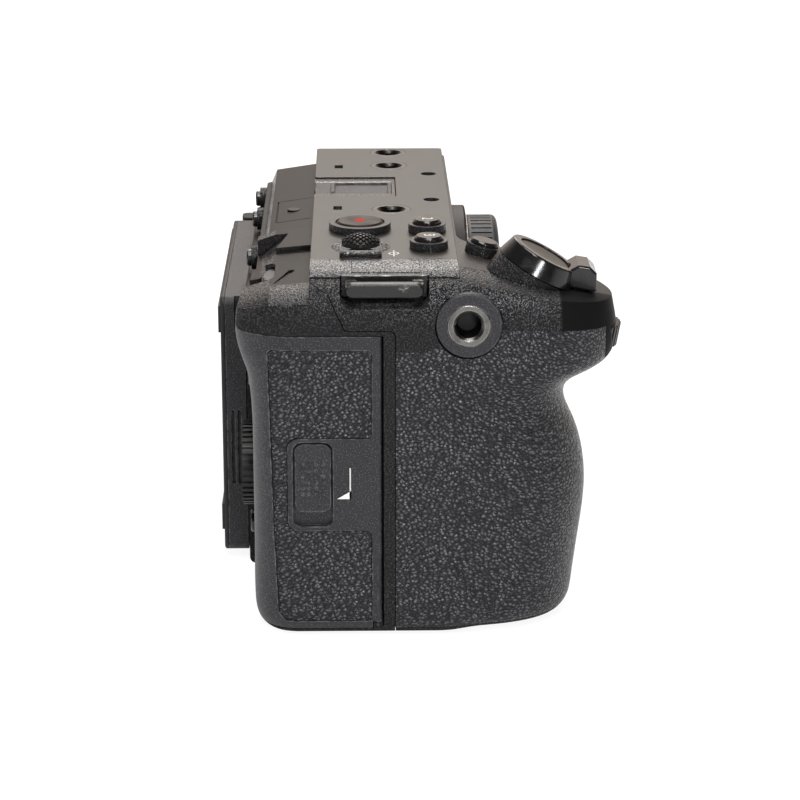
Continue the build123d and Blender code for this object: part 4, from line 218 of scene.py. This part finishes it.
class Shader(Nodes):
    """A material on the object's own coordinates, with the steps that the finishes share."""

    def __init__(self, name, color, roughness, metallic=0.0, specular=0.5):
        self.material = bpy.data.materials.new(name)
        self.material.use_nodes = True
        super().__init__(self.material.node_tree)
        self.shader = self.tree.nodes["Principled BSDF"]
        self.shader.inputs["Base Color"].default_value = (*color, 1.0)
        self.shader.inputs["Roughness"].default_value = roughness
        self.shader.inputs["Metallic"].default_value = metallic
        self.shader.inputs["Specular IOR Level"].default_value = specular
        self.place = self.node("ShaderNodeTexCoord").outputs["Object"]

    def link(self, output, name):
        self.tree.links.new(output, self.shader.inputs[name])

    def noise(self, size, detail=2.0, rough=0.5, place=None):
        """Noise whose features are about size millimetres across."""
        inputs = {"Vector": place or self.place, "Scale": 1.0 / (size * MM), "Detail": detail, "Roughness": rough}
        return self.node("ShaderNodeTexNoise", inputs).outputs["Fac"]

    def along(self, coordinate, limits, to_low=0.0, to_high=1.0):
        """A blend along a coordinate, between two limits in millimetres."""
        return self.spread(coordinate, limits[0] * MM, limits[1] * MM, to_low, to_high)

    def bump(self, height, depth, soft_edge=0.0):
        """Relief of depth millimetres, on edges rounded by soft_edge millimetres."""
        inputs = {"Height": height, "Distance": depth * MM, "Strength": 1.0}
        if soft_edge:
            inputs["Normal"] = self.rounded(soft_edge)
        self.link(self.node("ShaderNodeBump", inputs).outputs["Normal"], "Normal")

    def rounded(self, radius):
        """The surface normal as if the edges were rounded."""
        return self.node("ShaderNodeBevel", {"Radius": radius * MM}, samples=6).outputs["Normal"]

    def painted_crevice_shade(self, tone, reach=0.7):
        """The tone with painted shade, darker in gaps and corners within reach millimetres."""
        shut = self.node("ShaderNodeAmbientOcclusion", {"Distance": reach * MM}, samples=5).outputs["AO"]
        crevice_shaded_tone = self.node("ShaderNodeVectorMath", {0: tone, "Scale": 0.12}, operation="SCALE").outputs["Vector"]
        return self.tint(self.spread(shut, 0.35, 0.92), crevice_shaded_tone, tone)

    def edge_wear_and_highlight_mask(self, radius):
        """A mask that is 1 along sharp edges and 0 elsewhere."""
        normal = self.node("ShaderNodeNewGeometry").outputs["True Normal"]
        turned = self.node("ShaderNodeVectorMath", {0: self.rounded(radius), 1: normal}, operation="DOT_PRODUCT")
        return self.spread(turned.outputs["Value"], 0.98, 0.80)


def shade(color, factor):
    """The colour, lighter or darker by a factor."""
    return tuple(min(1.0, channel * factor) for channel in color)


# Finishes
def grained(name, color, grain, relief, roughness, edge=0.25, edge_wear_and_highlight=0.0, painted_glint_share=0.0, specular=0.3):
    """Textured paint or moulded plastic with a grain of the given size in millimetres, with painted shade in gaps
    and corners, and optional painted glints and lighter edges from rubbing and painted edge highlight.
    """
    s = Shader(name, color, roughness, specular=specular)
    fine = s.noise(grain, 3.0, 0.6)
    cloud = s.noise(14.0, 3.0)
    tone = s.tint(s.spread(cloud, 0.35, 0.65), shade(color, 0.86), shade(color, 1.16))
    tone = s.tint(s.spread(fine, 0.42, 0.7, 0.0, 0.55), tone, shade(color, 1.7))
    # Painted glints: bright specks in the colour
    if painted_glint_share:
        tone = s.tint(s.spread(s.noise(0.3, 1.0), 0.55, 0.68, 0.0, painted_glint_share), tone, PAINTED_GLINT_SATIN)
    # Lighter edges: rubbing and painted edge highlight
    if edge_wear_and_highlight:
        rub = s.math("MULTIPLY", s.edge_wear_and_highlight_mask(edge * 1.6), s.spread(s.noise(1.3, 4.0), 0.42, 0.62, 0.0, edge_wear_and_highlight))
        tone = s.tint(rub, tone, EDGE_WEAR_AND_HIGHLIGHT_GREY)
    # Painted shade in gaps and corners
    s.link(s.painted_crevice_shade(tone), "Base Color")
    s.link(s.spread(fine, 0.3, 0.75, roughness + 0.1, roughness - 0.1), "Roughness")
    s.bump(fine, relief, edge)
    return s.material


def casting_paint(name, side, flat, painted_glint_colour, nose=False):
    """Coarse grained paint on the sides of a casting, with painted glints, fine and even on its flat tops, which
    take a lighter, warm painted top light.

    With nose, the front end and the barrel behind the mount are smoother and darker, and the rear ledge is duller,
    its top dimmed by painted shade.
    The near end of the top is shaded as if it were rounded over. Gaps and corners take painted shade.
    """
    s = Shader(name, side, 0.45)
    coarse_grain = s.noise(COARSE_GRAIN, 1.0, 0.5)
    fine_grain = s.noise(FINE_GRAIN, 2.0, 0.6)
    normal = s.node("ShaderNodeNewGeometry").outputs["Normal"]
    up = s.node("ShaderNodeSeparateXYZ", {"Vector": normal}).outputs["Z"]
    at = s.node("ShaderNodeSeparateXYZ", {"Vector": s.place}).outputs
    x, y = at["X"], at["Y"]

    # Masks: 1 on slopes and past the plate's end, 1 behind the nose, 1 on the barrel, 1 on the ledge, where
    # painted shade falls
    near = s.along(x, END_BLEND_X, 1.0, 0.0)
    slope = s.math("MAXIMUM", s.spread(up, 0.955, 0.99, 1.0, 0.0), near)
    rough_part = slope
    if nose:
        barrel = s.math("MULTIPLY", s.along(x, BARREL_X), s.along(y, BARREL_Y, 1.0, 0.0))
        behind = s.math("MINIMUM", s.along(y, NOSE_Y), s.spread(barrel, 0.0, 1.0, 1.0, 0.0))
        rough_part = s.math("MULTIPLY", slope, behind)
        ledge = s.along(y, LEDGE_Y)

    # Colour, with painted light: a lighter top light on flat tops, glints on slopes, and shade on the ledge and in
    # crevices
    cloud = s.spread(s.noise(9.0, 4.0), 0.35, 0.65)
    # Flat tops: painted top light, lighter and warm
    even = s.tint(s.spread(fine_grain, 0.38, 0.66), shade(flat, 0.82), shade(flat, 1.2))
    even = s.tint(s.math("MULTIPLY", cloud, 0.35), even, shade(flat, 1.25))
    if nose:
        # Painted shade on the rear ledge's top
        even = s.tint(ledge, even, shade(flat, 0.3))
    # Painted glints on the slopes, more of them on slopes that face up
    glint = s.spread(coarse_grain, 0.53, 0.66)
    dark = s.tint(cloud, shade(side, 0.8), shade(side, 1.2))
    dark = s.tint(s.math("MULTIPLY", glint, 0.7), dark, painted_glint_colour)
    side_dark = s.tint(s.math("MULTIPLY", glint, 0.25), shade(side, 1.15), painted_glint_colour)
    dark = s.tint(s.spread(up, 0.05, 0.5), side_dark, dark)
    tone = s.tint(slope, even, dark)
    if nose:
        front = s.tint(barrel, NOSE_BLACK, BARREL_BLACK)
        # The nose's flat tops take the painted top light, dimmer
        front = s.tint(s.math("MAXIMUM", slope, barrel), shade(flat, 0.6), front)
        tone = s.tint(behind, front, tone)
    # Painted shade in gaps and corners
    s.link(s.painted_crevice_shade(tone, 1.0), "Base Color")

    # Gloss
    grainy = s.spread(coarse_grain, 0.42, 0.6, 0.05, 0.95)
    shine = s.tint_value(slope, 0.36, s.math("MULTIPLY", grainy, s.spread(up, 0.05, 0.5, 0.4, 1.0)))
    if nose:
        dull = s.math("MAXIMUM", ledge, s.math("MULTIPLY", near, s.along(y, END_DULL_Y, 0.8, 0.95)))
        shine = s.tint_value(dull, shine, s.math("MULTIPLY", shine, 0.35))
        front_shine = s.tint_value(barrel, s.tint_value(slope, 0.34, 0.05), 0.2)
        shine = s.tint_value(behind, front_shine, shine)
    s.link(shine, "Specular IOR Level")
    rough = s.math("MULTIPLY", s.spread(s.noise(0.9, 2.0), 0.35, 0.65, 0.18, 0.3), rough_part)
    s.link(s.math("ADD", rough, s.spread(rough_part, 0.0, 1.0, 0.47, 0.0)), "Roughness")

    # Relief
    relief = s.math("ADD", s.math("MULTIPLY", coarse_grain, rough_part), s.math("MULTIPLY", fine_grain, 0.12))
    past = s.along(x, (PLATE_END - END_REACH, PLATE_END), END_REACH, 0.0)
    drop = s.math("MULTIPLY", s.math("MULTIPLY", past, past), 0.5 / END_ROUND / GRAIN_DEPTH)
    s.bump(s.math("SUBTRACT", relief, drop), GRAIN_DEPTH, 0.3)
    return s.material


def leatherette(name):
    """Pebbled leatherette: small rounded cells with painted highlights on their crowns, and painted shade in the
    creases between them.
    """
    s = Shader(name, LEATHER_BLACK, 0.4)
    sway = s.node("ShaderNodeTexNoise", {"Vector": s.place, "Scale": 300.0, "Detail": 2.0}).outputs["Color"]
    bent = s.node("ShaderNodeVectorMath", {0: sway, "Scale": 1.0 * MM}, operation="SCALE").outputs["Vector"]
    place = s.node("ShaderNodeVectorMath", {0: s.place, 1: bent}, operation="ADD").outputs["Vector"]
    stretch = {"Vector": place, "Rotation": (0.6, 0.0, 0.0), "Scale": (1.0, 0.8, 1.15)}
    place = s.node("ShaderNodeMapping", stretch).outputs["Vector"]
    cell = {"Vector": place, "Scale": 1.0 / (PEBBLE * MM), "Randomness": 1.0}
    pebble = s.node("ShaderNodeTexVoronoi", {**cell, "Smoothness": 0.2}, feature="SMOOTH_F1").outputs["Distance"]
    rim = s.node("ShaderNodeTexVoronoi", cell, feature="DISTANCE_TO_EDGE").outputs["Distance"]
    crease = s.spread(rim, 0.0, 0.18)
    dome = s.math("POWER", s.spread(pebble, 0.0, 0.65, 1.0, 0.0), 0.9)
    height = s.math("ADD", s.math("MULTIPLY", dome, 0.75), s.math("MULTIPLY", crease, 0.25))
    height = s.math("ADD", height, s.spread(s.noise(0.3, 2.0), 0.3, 0.7, -0.06, 0.06))
    # Painted shade in the creases between pebbles
    tone = s.tint(crease, shade(LEATHER_BLACK, 0.25), LEATHER_BLACK)
    # Painted highlights on the pebbles' crowns
    crown_highlight = s.math("MULTIPLY", s.spread(dome, 0.5, 1.0), s.spread(s.noise(1.4, 2.0), 0.36, 0.64, 0.75, 1.0))
    s.link(s.tint(crown_highlight, tone, LEATHER_CROWN_HIGHLIGHT), "Base Color")
    s.link(s.spread(s.noise(1.6, 3.0), 0.35, 0.65, 0.22, 0.34), "Roughness")
    s.link(s.spread(dome, 0.2, 0.85, 0.15, 0.85), "Specular IOR Level")
    s.bump(height, PEBBLE_RELIEF)
    return s.material


def metal(name, color, roughness, edge_wear_and_highlight=(0.75, 0.72, 0.68), edge=0.2):
    """Turned metal with fine scratches, and edges brightened by rubbing and a painted edge highlight."""
    s = Shader(name, color, roughness, metallic=1.0)
    scratch = s.noise(0.5, 6.0, 0.7)
    tone = s.tint(s.spread(s.noise(2.2, 4.0), 0.35, 0.7), shade(color, 0.7), shade(color, 1.15))
    # Brighter edges: rubbing and painted edge highlight
    s.link(s.tint(s.edge_wear_and_highlight_mask(edge), tone, edge_wear_and_highlight), "Base Color")
    s.link(s.spread(scratch, 0.3, 0.7, roughness - 0.08, roughness + 0.14), "Roughness")
    s.bump(scratch, 0.012, edge)
    return s.material


def gloss(name, color, roughness, specular=0.5):
    """Polished plastic with faint dust and handling marks."""
    s = Shader(name, color, roughness, specular=specular)
    haze = s.noise(3.0, 5.0, 0.6)
    s.link(s.tint(s.spread(haze, 0.45, 0.75, 0.0, 0.6), color, shade(color, 2.0)), "Base Color")
    s.link(s.spread(haze, 0.3, 0.75, roughness - 0.05, roughness + 0.16), "Roughness")
    s.bump(s.noise(0.25, 2.0), 0.006, 0.25)
    return s.material


def worn_black(name, color, roughness):
    """Glossy black paint abraded through to bright metal along its upper edges."""
    s = Shader(name, color, roughness)
    streak = s.node("ShaderNodeMapping", {"Vector": s.place, "Scale": (1.0, 0.25, 1.0)}).outputs["Vector"]
    rub = s.math("MULTIPLY", s.edge_wear_and_highlight_mask(0.35), s.spread(s.noise(0.8, 5.0, 0.7, streak), 0.5, 0.62))
    scar = s.spread(s.noise(0.5, 4.0, 0.8, streak), 0.5, 0.6)
    scar = s.math("MULTIPLY", s.spread(s.noise(3.5, 2.0), 0.6, 0.68), scar)
    rub = s.math("MAXIMUM", rub, s.math("MULTIPLY", scar, 0.6))
    s.link(s.tint(rub, color, RUBBED_STEEL), "Base Color")
    s.link(rub, "Metallic")
    s.link(s.spread(s.noise(0.9, 4.0), 0.3, 0.7, roughness - 0.06, roughness + 0.14), "Roughness")
    s.bump(s.noise(0.5, 4.0, 0.7, streak), 0.02, 0.3)
    return s.material


def board_green(name):
    """Circuit board with copper tracks."""
    s = Shader(name, (0.02, 0.09, 0.04), 0.4)
    tracks = {"Vector": s.place, "Scale": 260.0, "Color1": (0.015, 0.07, 0.03, 1), "Color2": (0.03, 0.13, 0.06, 1),
              "Mortar": (0.3, 0.24, 0.1, 1)}
    s.link(s.node("ShaderNodeTexBrick", tracks).outputs["Color"], "Base Color")
    return s.material


def finishes():
    """One material for each slot of the record, and those of single nodes and marks."""
    return {
        "housing_paint": casting_paint("housing_paint", BLACK_PAINT, LIT_TOP_GREY, PAINTED_GLINT_CASTING, nose=True),
        "plate_paint": casting_paint("plate_paint", PLATE_BLACK, LIT_TOP_GREY, shade(PAINTED_GLINT_CASTING, 1.6)),
        "leatherette": leatherette("leatherette"),
        # Satin plastic takes painted glints, and lighter edges from rubbing and painted edge highlight
        "satin_plastic": grained("satin_plastic", SATIN_BLACK, 0.16, 0.035, 0.46, edge=0.35, edge_wear_and_highlight=0.8,
                                 painted_glint_share=0.35),
        "cover_paint": grained("cover_paint", BLACK_PAINT, 0.2, 0.03, 0.5, edge=0.3),
        "cap_plastic": grained("cap_plastic", (0.016, 0.016, 0.019), 0.3, 0.01, 0.45, edge=0.12, specular=0.22),
        "gloss_plastic": gloss("gloss_plastic", (0.008, 0.008, 0.0085), 0.14),
        "button_satin": gloss("button_satin", WARM_GREY, 0.4, 0.3),
        "knurled_plastic": grained("knurled_plastic", GLOSS_BLACK, 0.2, 0.01, 0.36, edge=0.12),
        "inner_plastic": grained("inner_plastic", (0.02, 0.02, 0.02), 0.3, 0.01, 0.5),
        "battery_plastic": grained("battery_plastic", (0.05, 0.05, 0.05), 0.3, 0.02, 0.5),
        "bright_steel": metal("bright_steel", STEEL, 0.24),
        "dark_steel": metal("dark_steel", (0.028, 0.027, 0.027), 0.26, (0.42, 0.4, 0.38), 0.3),
        "aluminium": metal("aluminium", (0.6, 0.6, 0.6), 0.35),
        "board": board_green("board_green"),
        "sensor_glass": gloss("sensor_glass", (0.02, 0.03, 0.05), 0.05),
        "screen_glass": gloss("screen_glass", (0.004, 0.004, 0.005), 0.04),
        "lamp_lens": gloss("lamp_lens", (0.02, 0.006, 0.006), 0.08),
        "mark_white": gloss("mark_white", MARK_WHITE, 0.4),
        "mark_red": gloss("mark_red", MARK_RED, 0.6, 0.05),
        "cap_satin": gloss("cap_satin", (0.018, 0.0125, 0.01), 0.42, 0.12),
        "worn_black": worn_black("worn_black", (0.006, 0.0058, 0.0058), 0.3),
        "worn_insert": metal("worn_insert", (0.16, 0.155, 0.15), 0.3, (0.62, 0.6, 0.57), 0.3),
        "insert": metal("insert", (0.05, 0.048, 0.046), 0.3, (0.3, 0.29, 0.27), 0.12),
        "bore_painted_shade": gloss("bore_painted_shade", (0.004, 0.004, 0.004), 0.5),
        "lamp_dark": gloss("lamp_dark", (0.006, 0.005, 0.005), 0.3, 0.1),
    }


FINISH = finishes()
SLOT_OF = {row["node"]: row["material_slot"] for row in frame["record"]["subparts"]}
OWN_FINISH = {
    "rec_button": "cap_satin",
    "strap_lugs": "worn_black",
    "top_sockets": "insert",
    "side_sockets": "worn_insert",
    "tally_lamp": "lamp_dark",
}


def dress_nodes():
    """The material of each CAD node, in its own slots."""
    for name, node in frame["nodes"].items():
        material = FINISH[OWN_FINISH.get(name, SLOT_OF[name])]
        if not node.material_slots:
            node.data.materials.append(material)
        for slot in node.material_slots:
            slot.material = material


# Flat shapes, meshes and places
def placed(origin, out, right):
    """A matrix whose local X is right and local Z points out of the surface, origin in millimetres."""
    z = Vector(out).normalized()
    x = Vector(right).normalized()
    y = z.cross(x)
    turn = Matrix((x, y, z)).transposed().to_4x4()
    return Matrix.Translation(Vector(origin) * MM) @ turn


def on_top(node):
    """The place in the middle of a node's top."""
    low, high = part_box(node)
    middle = (low + high) / 2 / MM
    return placed((middle.x, middle.y, high.z / MM), UP, USER_RIGHT)


def add_piece(name, mesh, material, body):
    """A piece with its finish, carried by a body."""
    piece = bpy.data.objects.new(name, mesh)
    bpy.context.collection.objects.link(piece)
    piece.data.materials.append(FINISH[material])
    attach(piece, body)


def bar(x0, x1, y0, y1):
    return [(x0, y0), (x1, y0), (x1, y1), (x0, y1)]


def disc(radius):
    turns = [2 * pi * k / CIRCLE_STEPS for k in range(CIRCLE_STEPS)]
    return [(radius * cos(turn), radius * sin(turn)) for turn in turns]


def ring_quads(radius, width):
    """A flat ring as quads."""
    outer, inner = radius + width / 2, radius - width / 2
    quads = []
    for k in range(CIRCLE_STEPS):
        a, b = 2 * pi * k / CIRCLE_STEPS, 2 * pi * (k + 1) / CIRCLE_STEPS
        quads.append([(inner * cos(a), inner * sin(a)), (outer * cos(a), outer * sin(a)),
                      (outer * cos(b), outer * sin(b)), (inner * cos(b), inner * sin(b))])
    return quads


def finished_mesh(name, bm, place):
    """The mesh made from bm, moved to its place."""
    bm.normal_update()
    mesh = bpy.data.meshes.new(name)
    bm.to_mesh(mesh)
    bm.free()
    mesh.transform(place)
    return mesh


def flat_mesh(name, outlines, place, thickness=MARK_HEIGHT):
    """Thin raised marks: each outline is a list of local points in millimetres."""
    bm = bmesh.new()
    for outline in outlines:
        low = [bm.verts.new(Vector((x, y, -MARK_SINK)) * MM) for x, y in outline]
        high = [bm.verts.new(Vector((x, y, thickness)) * MM) for x, y in outline]
        bm.faces.new(list(reversed(low)))
        bm.faces.new(high)
        for k in range(len(outline)):
            n = (k + 1) % len(outline)
            bm.faces.new((low[k], low[n], high[n], high[k]))
    return finished_mesh(name, bm, place)


def text_mesh(name, words, size, place):
    """Generic figures as a thin mesh, centred on the place."""
    curve = bpy.data.curves.new(name + "_curve", type="FONT")
    curve.body = words
    curve.size = size * MM
    curve.extrude = MARK_HEIGHT * MM / 2
    curve.align_x = "CENTER"
    curve.align_y = "CENTER"
    curve.resolution_u = 3
    holder = bpy.data.objects.new(name + "_holder", curve)
    mesh = bpy.data.meshes.new_from_object(holder)
    bpy.data.objects.remove(holder)
    bpy.data.curves.remove(curve)
    mesh.name = name
    mesh.transform(place)
    return mesh


def thread_mesh(name, place):
    """The inner side of a screw thread, down from the socket's mouth."""
    root, crest = THREAD_ROOT * THREAD_PITCH, THREAD_CREST * THREAD_PITCH
    tip = THREAD_RADIUS - THREAD_HEIGHT
    bm = bmesh.new()
    rows = []
    for k in range(int((THREAD_END - THREAD_START) / THREAD_PITCH * THREAD_STEPS) + 1):
        angle, depth = 2 * pi * k / THREAD_STEPS, THREAD_START + THREAD_PITCH * k / THREAD_STEPS
        row = [(THREAD_RADIUS, depth - root), (tip, depth - crest),
               (tip, depth + crest), (THREAD_RADIUS, depth + root)]
        rows.append([bm.verts.new(Vector((r * cos(angle), r * sin(angle), -d)) * MM) for r, d in row])
    for first, second in zip(rows, rows[1:]):
        for j in range(3):
            bm.faces.new((first[j], first[j + 1], second[j + 1], second[j]))
    return finished_mesh(name, bm, place)


# Markings and threads
def top_marks():
    """The sensor-plane mark, the figures on the top buttons and the record disc."""
    plane = placed((*PLANE_MARK_AT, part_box("top_sockets")[1].z / MM), UP, USER_RIGHT)
    line = bar(-PLANE_HALF, PLANE_HALF, -PLANE_LINE / 2, PLANE_LINE / 2)
    outlines = ring_quads(PLANE_RADIUS, PLANE_LINE) + [line]
    add_piece("mark_plane", flat_mesh("mark_plane", outlines, plane), "mark_white", "body")
    for digit in ("2", "3"):
        name, button = "digit_" + digit, "button_" + digit
        add_piece(name, text_mesh(name, digit, FIGURE_SIZE, on_top(button)), "mark_white", button)
    spot = flat_mesh("rec_disc", [disc(REC_DISC_RADIUS)], on_top("rec_button"))
    add_piece("rec_disc", spot, "mark_red", "rec_button")


def door_arrow():
    """A plain arrow on the card door that shows which way it slides."""
    place = placed((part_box("card_door")[0].x / MM, 0, 0), GRIP_SIDE, REARWARD)
    line = bar(*ARROW_Y, *ARROW_Z)
    foot = [(ARROW_Y[0], ARROW_Z[0]), (ARROW_TIP[0], ARROW_Z[0]), (ARROW_Y[0], ARROW_TIP[1])]
    flip = [[(y, -z) for y, z in reversed(outline)] for outline in (line, foot)]
    add_piece("door_arrow", flat_mesh("door_arrow", flip, place), "mark_white", "card_door")


def threads():
    """Thread crests in each stand socket, and a black disc of painted shade at its floor."""
    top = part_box("top_sockets")[1].z / MM
    grip, port = (corner.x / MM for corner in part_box("side_sockets"))
    spots = [("top_%d" % k, (x, TOP_SOCKETS_Y, top), UP, PORT) for k, x in enumerate(TOP_SOCKETS_X)]
    spots.append(("grip", (grip, *GRIP_SOCKET_AT), GRIP_SIDE, REARWARD))
    spots.append(("port", (port, *PORT_SOCKET_AT), PORT, REARWARD))
    spots.append(("tripod", (0.0, 0.0, 0.0), (0, 0, -1), PORT))
    for name, origin, out, right in spots:
        place = placed(origin, out, right)
        add_piece("thread_" + name, thread_mesh("thread_" + name, place), "insert", "body")
        # A black disc of painted shade at the socket's floor
        bottom = place @ Matrix.Translation((0, 0, -BORE_FLOOR_DEPTH * MM))
        shut = flat_mesh("bore_" + name, [disc(BORE_FLOOR_RADIUS)], bottom, BORE_FLOOR_HEIGHT)
        add_piece("bore_" + name, shut, "bore_painted_shade", "body")


def first_digit():
    """The figure on the tilted button in front of the top plate."""
    low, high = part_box("button_1")
    tilt = radians(BUTTON_TILT)
    out = Vector((0, -sin(tilt), cos(tilt)))
    middle = (low + high) / 2 / MM
    reach = ((high.z - low.z) / MM / 2 - BUTTON_RADIUS * sin(tilt)) / cos(tilt)
    place = placed(middle + out * reach, out, USER_RIGHT)
    add_piece("digit_1", text_mesh("digit_1", "1", TILTED_FIGURE_SIZE, place), "mark_white", "button_1")


# Floor, light and camera
def white_when_seen(material):
    """A pale floor that is seen nearly white, with its shadow kept. Other rays find part of its glow."""
    tree = material.node_tree
    out = tree.nodes["Material Output"]
    for node in list(tree.nodes):
        if node != out:
            tree.nodes.remove(node)
    n = Nodes(tree)
    path = n.node("ShaderNodeLightPath").outputs
    seen = n.math("MAXIMUM", path["Is Camera Ray"], path["Is Transmission Ray"])
    share = n.math("MULTIPLY", n.math("MAXIMUM", seen, FLOOR_FILL), 1.0 - FLOOR_SHADOW)
    diffuse = n.node("ShaderNodeBsdfDiffuse", {"Color": (*FLOOR_PALE, 1.0)})
    glow = n.node("ShaderNodeEmission", {"Strength": FLOOR_GLOW})
    mix = n.node("ShaderNodeMixShader", {0: share, 1: diffuse.outputs[0], 2: glow.outputs[0]})
    n.put(out.inputs["Surface"], mix.outputs[0])


def floor():
    """The plain pale floor that the camera body stands on."""
    bm = bmesh.new()
    square = bar(-FLOOR_HALF, FLOOR_HALF, -FLOOR_HALF, FLOOR_HALF)
    bm.faces.new([bm.verts.new((x, y, -FLOOR_DROP)) for x, y in square])
    mesh = bpy.data.meshes.new("floor")
    bm.to_mesh(mesh)
    bm.free()
    ground = bpy.data.objects.new("floor", mesh)
    bpy.context.collection.objects.link(ground)
    material = bpy.data.materials.new("floor_pale")
    material.use_nodes = True
    white_when_seen(material)
    ground.data.materials.append(material)


def world_light():
    """Even soft light all round, seen as white. Reflections find it warmer, and dimmer overhead and towards -X."""
    world = bpy.data.worlds.new("studio")
    bpy.context.scene.world = world
    world.use_nodes = True
    background = world.node_tree.nodes["Background"].inputs
    n = Nodes(world.node_tree)
    path = n.node("ShaderNodeLightPath").outputs
    way = n.node("ShaderNodeSeparateXYZ", {"Vector": n.node("ShaderNodeTexCoord").outputs["Generated"]}).outputs
    glossy = path["Is Glossy Ray"]
    seen = n.math("MAXIMUM", n.math("MAXIMUM", path["Is Camera Ray"], glossy), path["Is Transmission Ray"])
    high_part = n.spread(way["Z"], 0.3, 0.75, 1.0, WORLD_OVERHEAD, "SMOOTHSTEP")
    side_part = n.spread(way["X"], 0.15, 0.9, WORLD_NEAR_SIDE, 1.0, "SMOOTHSTEP")
    mirrored = n.math("MULTIPLY", high_part, side_part)
    mirrored = n.spread(glossy, 0.0, 1.0, WORLD_SEEN, mirrored, "SMOOTHSTEP")
    n.put(background["Strength"], n.spread(seen, 0.0, 1.0, WORLD_LIGHT, mirrored, "SMOOTHSTEP"))
    n.put(background["Color"], n.tint(glossy, WORLD_COLOR, WORLD_MIRRORED))


def softbox(name, at, width, height, power, color, mirrored):
    """A rectangular lamp that faces the middle of the object."""
    lamp = bpy.data.lights.new(name, type="AREA")
    lamp.shape = "RECTANGLE"
    lamp.size, lamp.size_y = width, height
    lamp.energy = power
    lamp.color = color
    holder = bpy.data.objects.new(name, lamp)
    bpy.context.collection.objects.link(holder)
    holder.visible_glossy = mirrored
    holder.location = at
    target = (cad_low + cad_high) / 2
    holder.rotation_euler = (target - Vector(at)).to_track_quat("-Z", "Y").to_euler()


def camera():
    """The camera at the photograph's viewing angle."""
    data = bpy.data.cameras.new("view")
    data.lens = CAMERA_LENS
    data.sensor_width = SENSOR_WIDTH
    data.clip_start, data.clip_end = CLIP
    holder = bpy.data.objects.new("view", data)
    holder.location = CAMERA_AT
    holder.rotation_euler = Vector(CAMERA_LOOKS).to_track_quat("-Z", "Y").to_euler()
    bpy.context.collection.objects.link(holder)
    bpy.context.scene.camera = holder


dress_nodes()
top_marks()
door_arrow()
threads()
first_digit()
floor()
world_light()
for row in LAMPS:
    softbox(*row)
camera()
bpy.context.scene.view_settings.view_transform = "Standard"
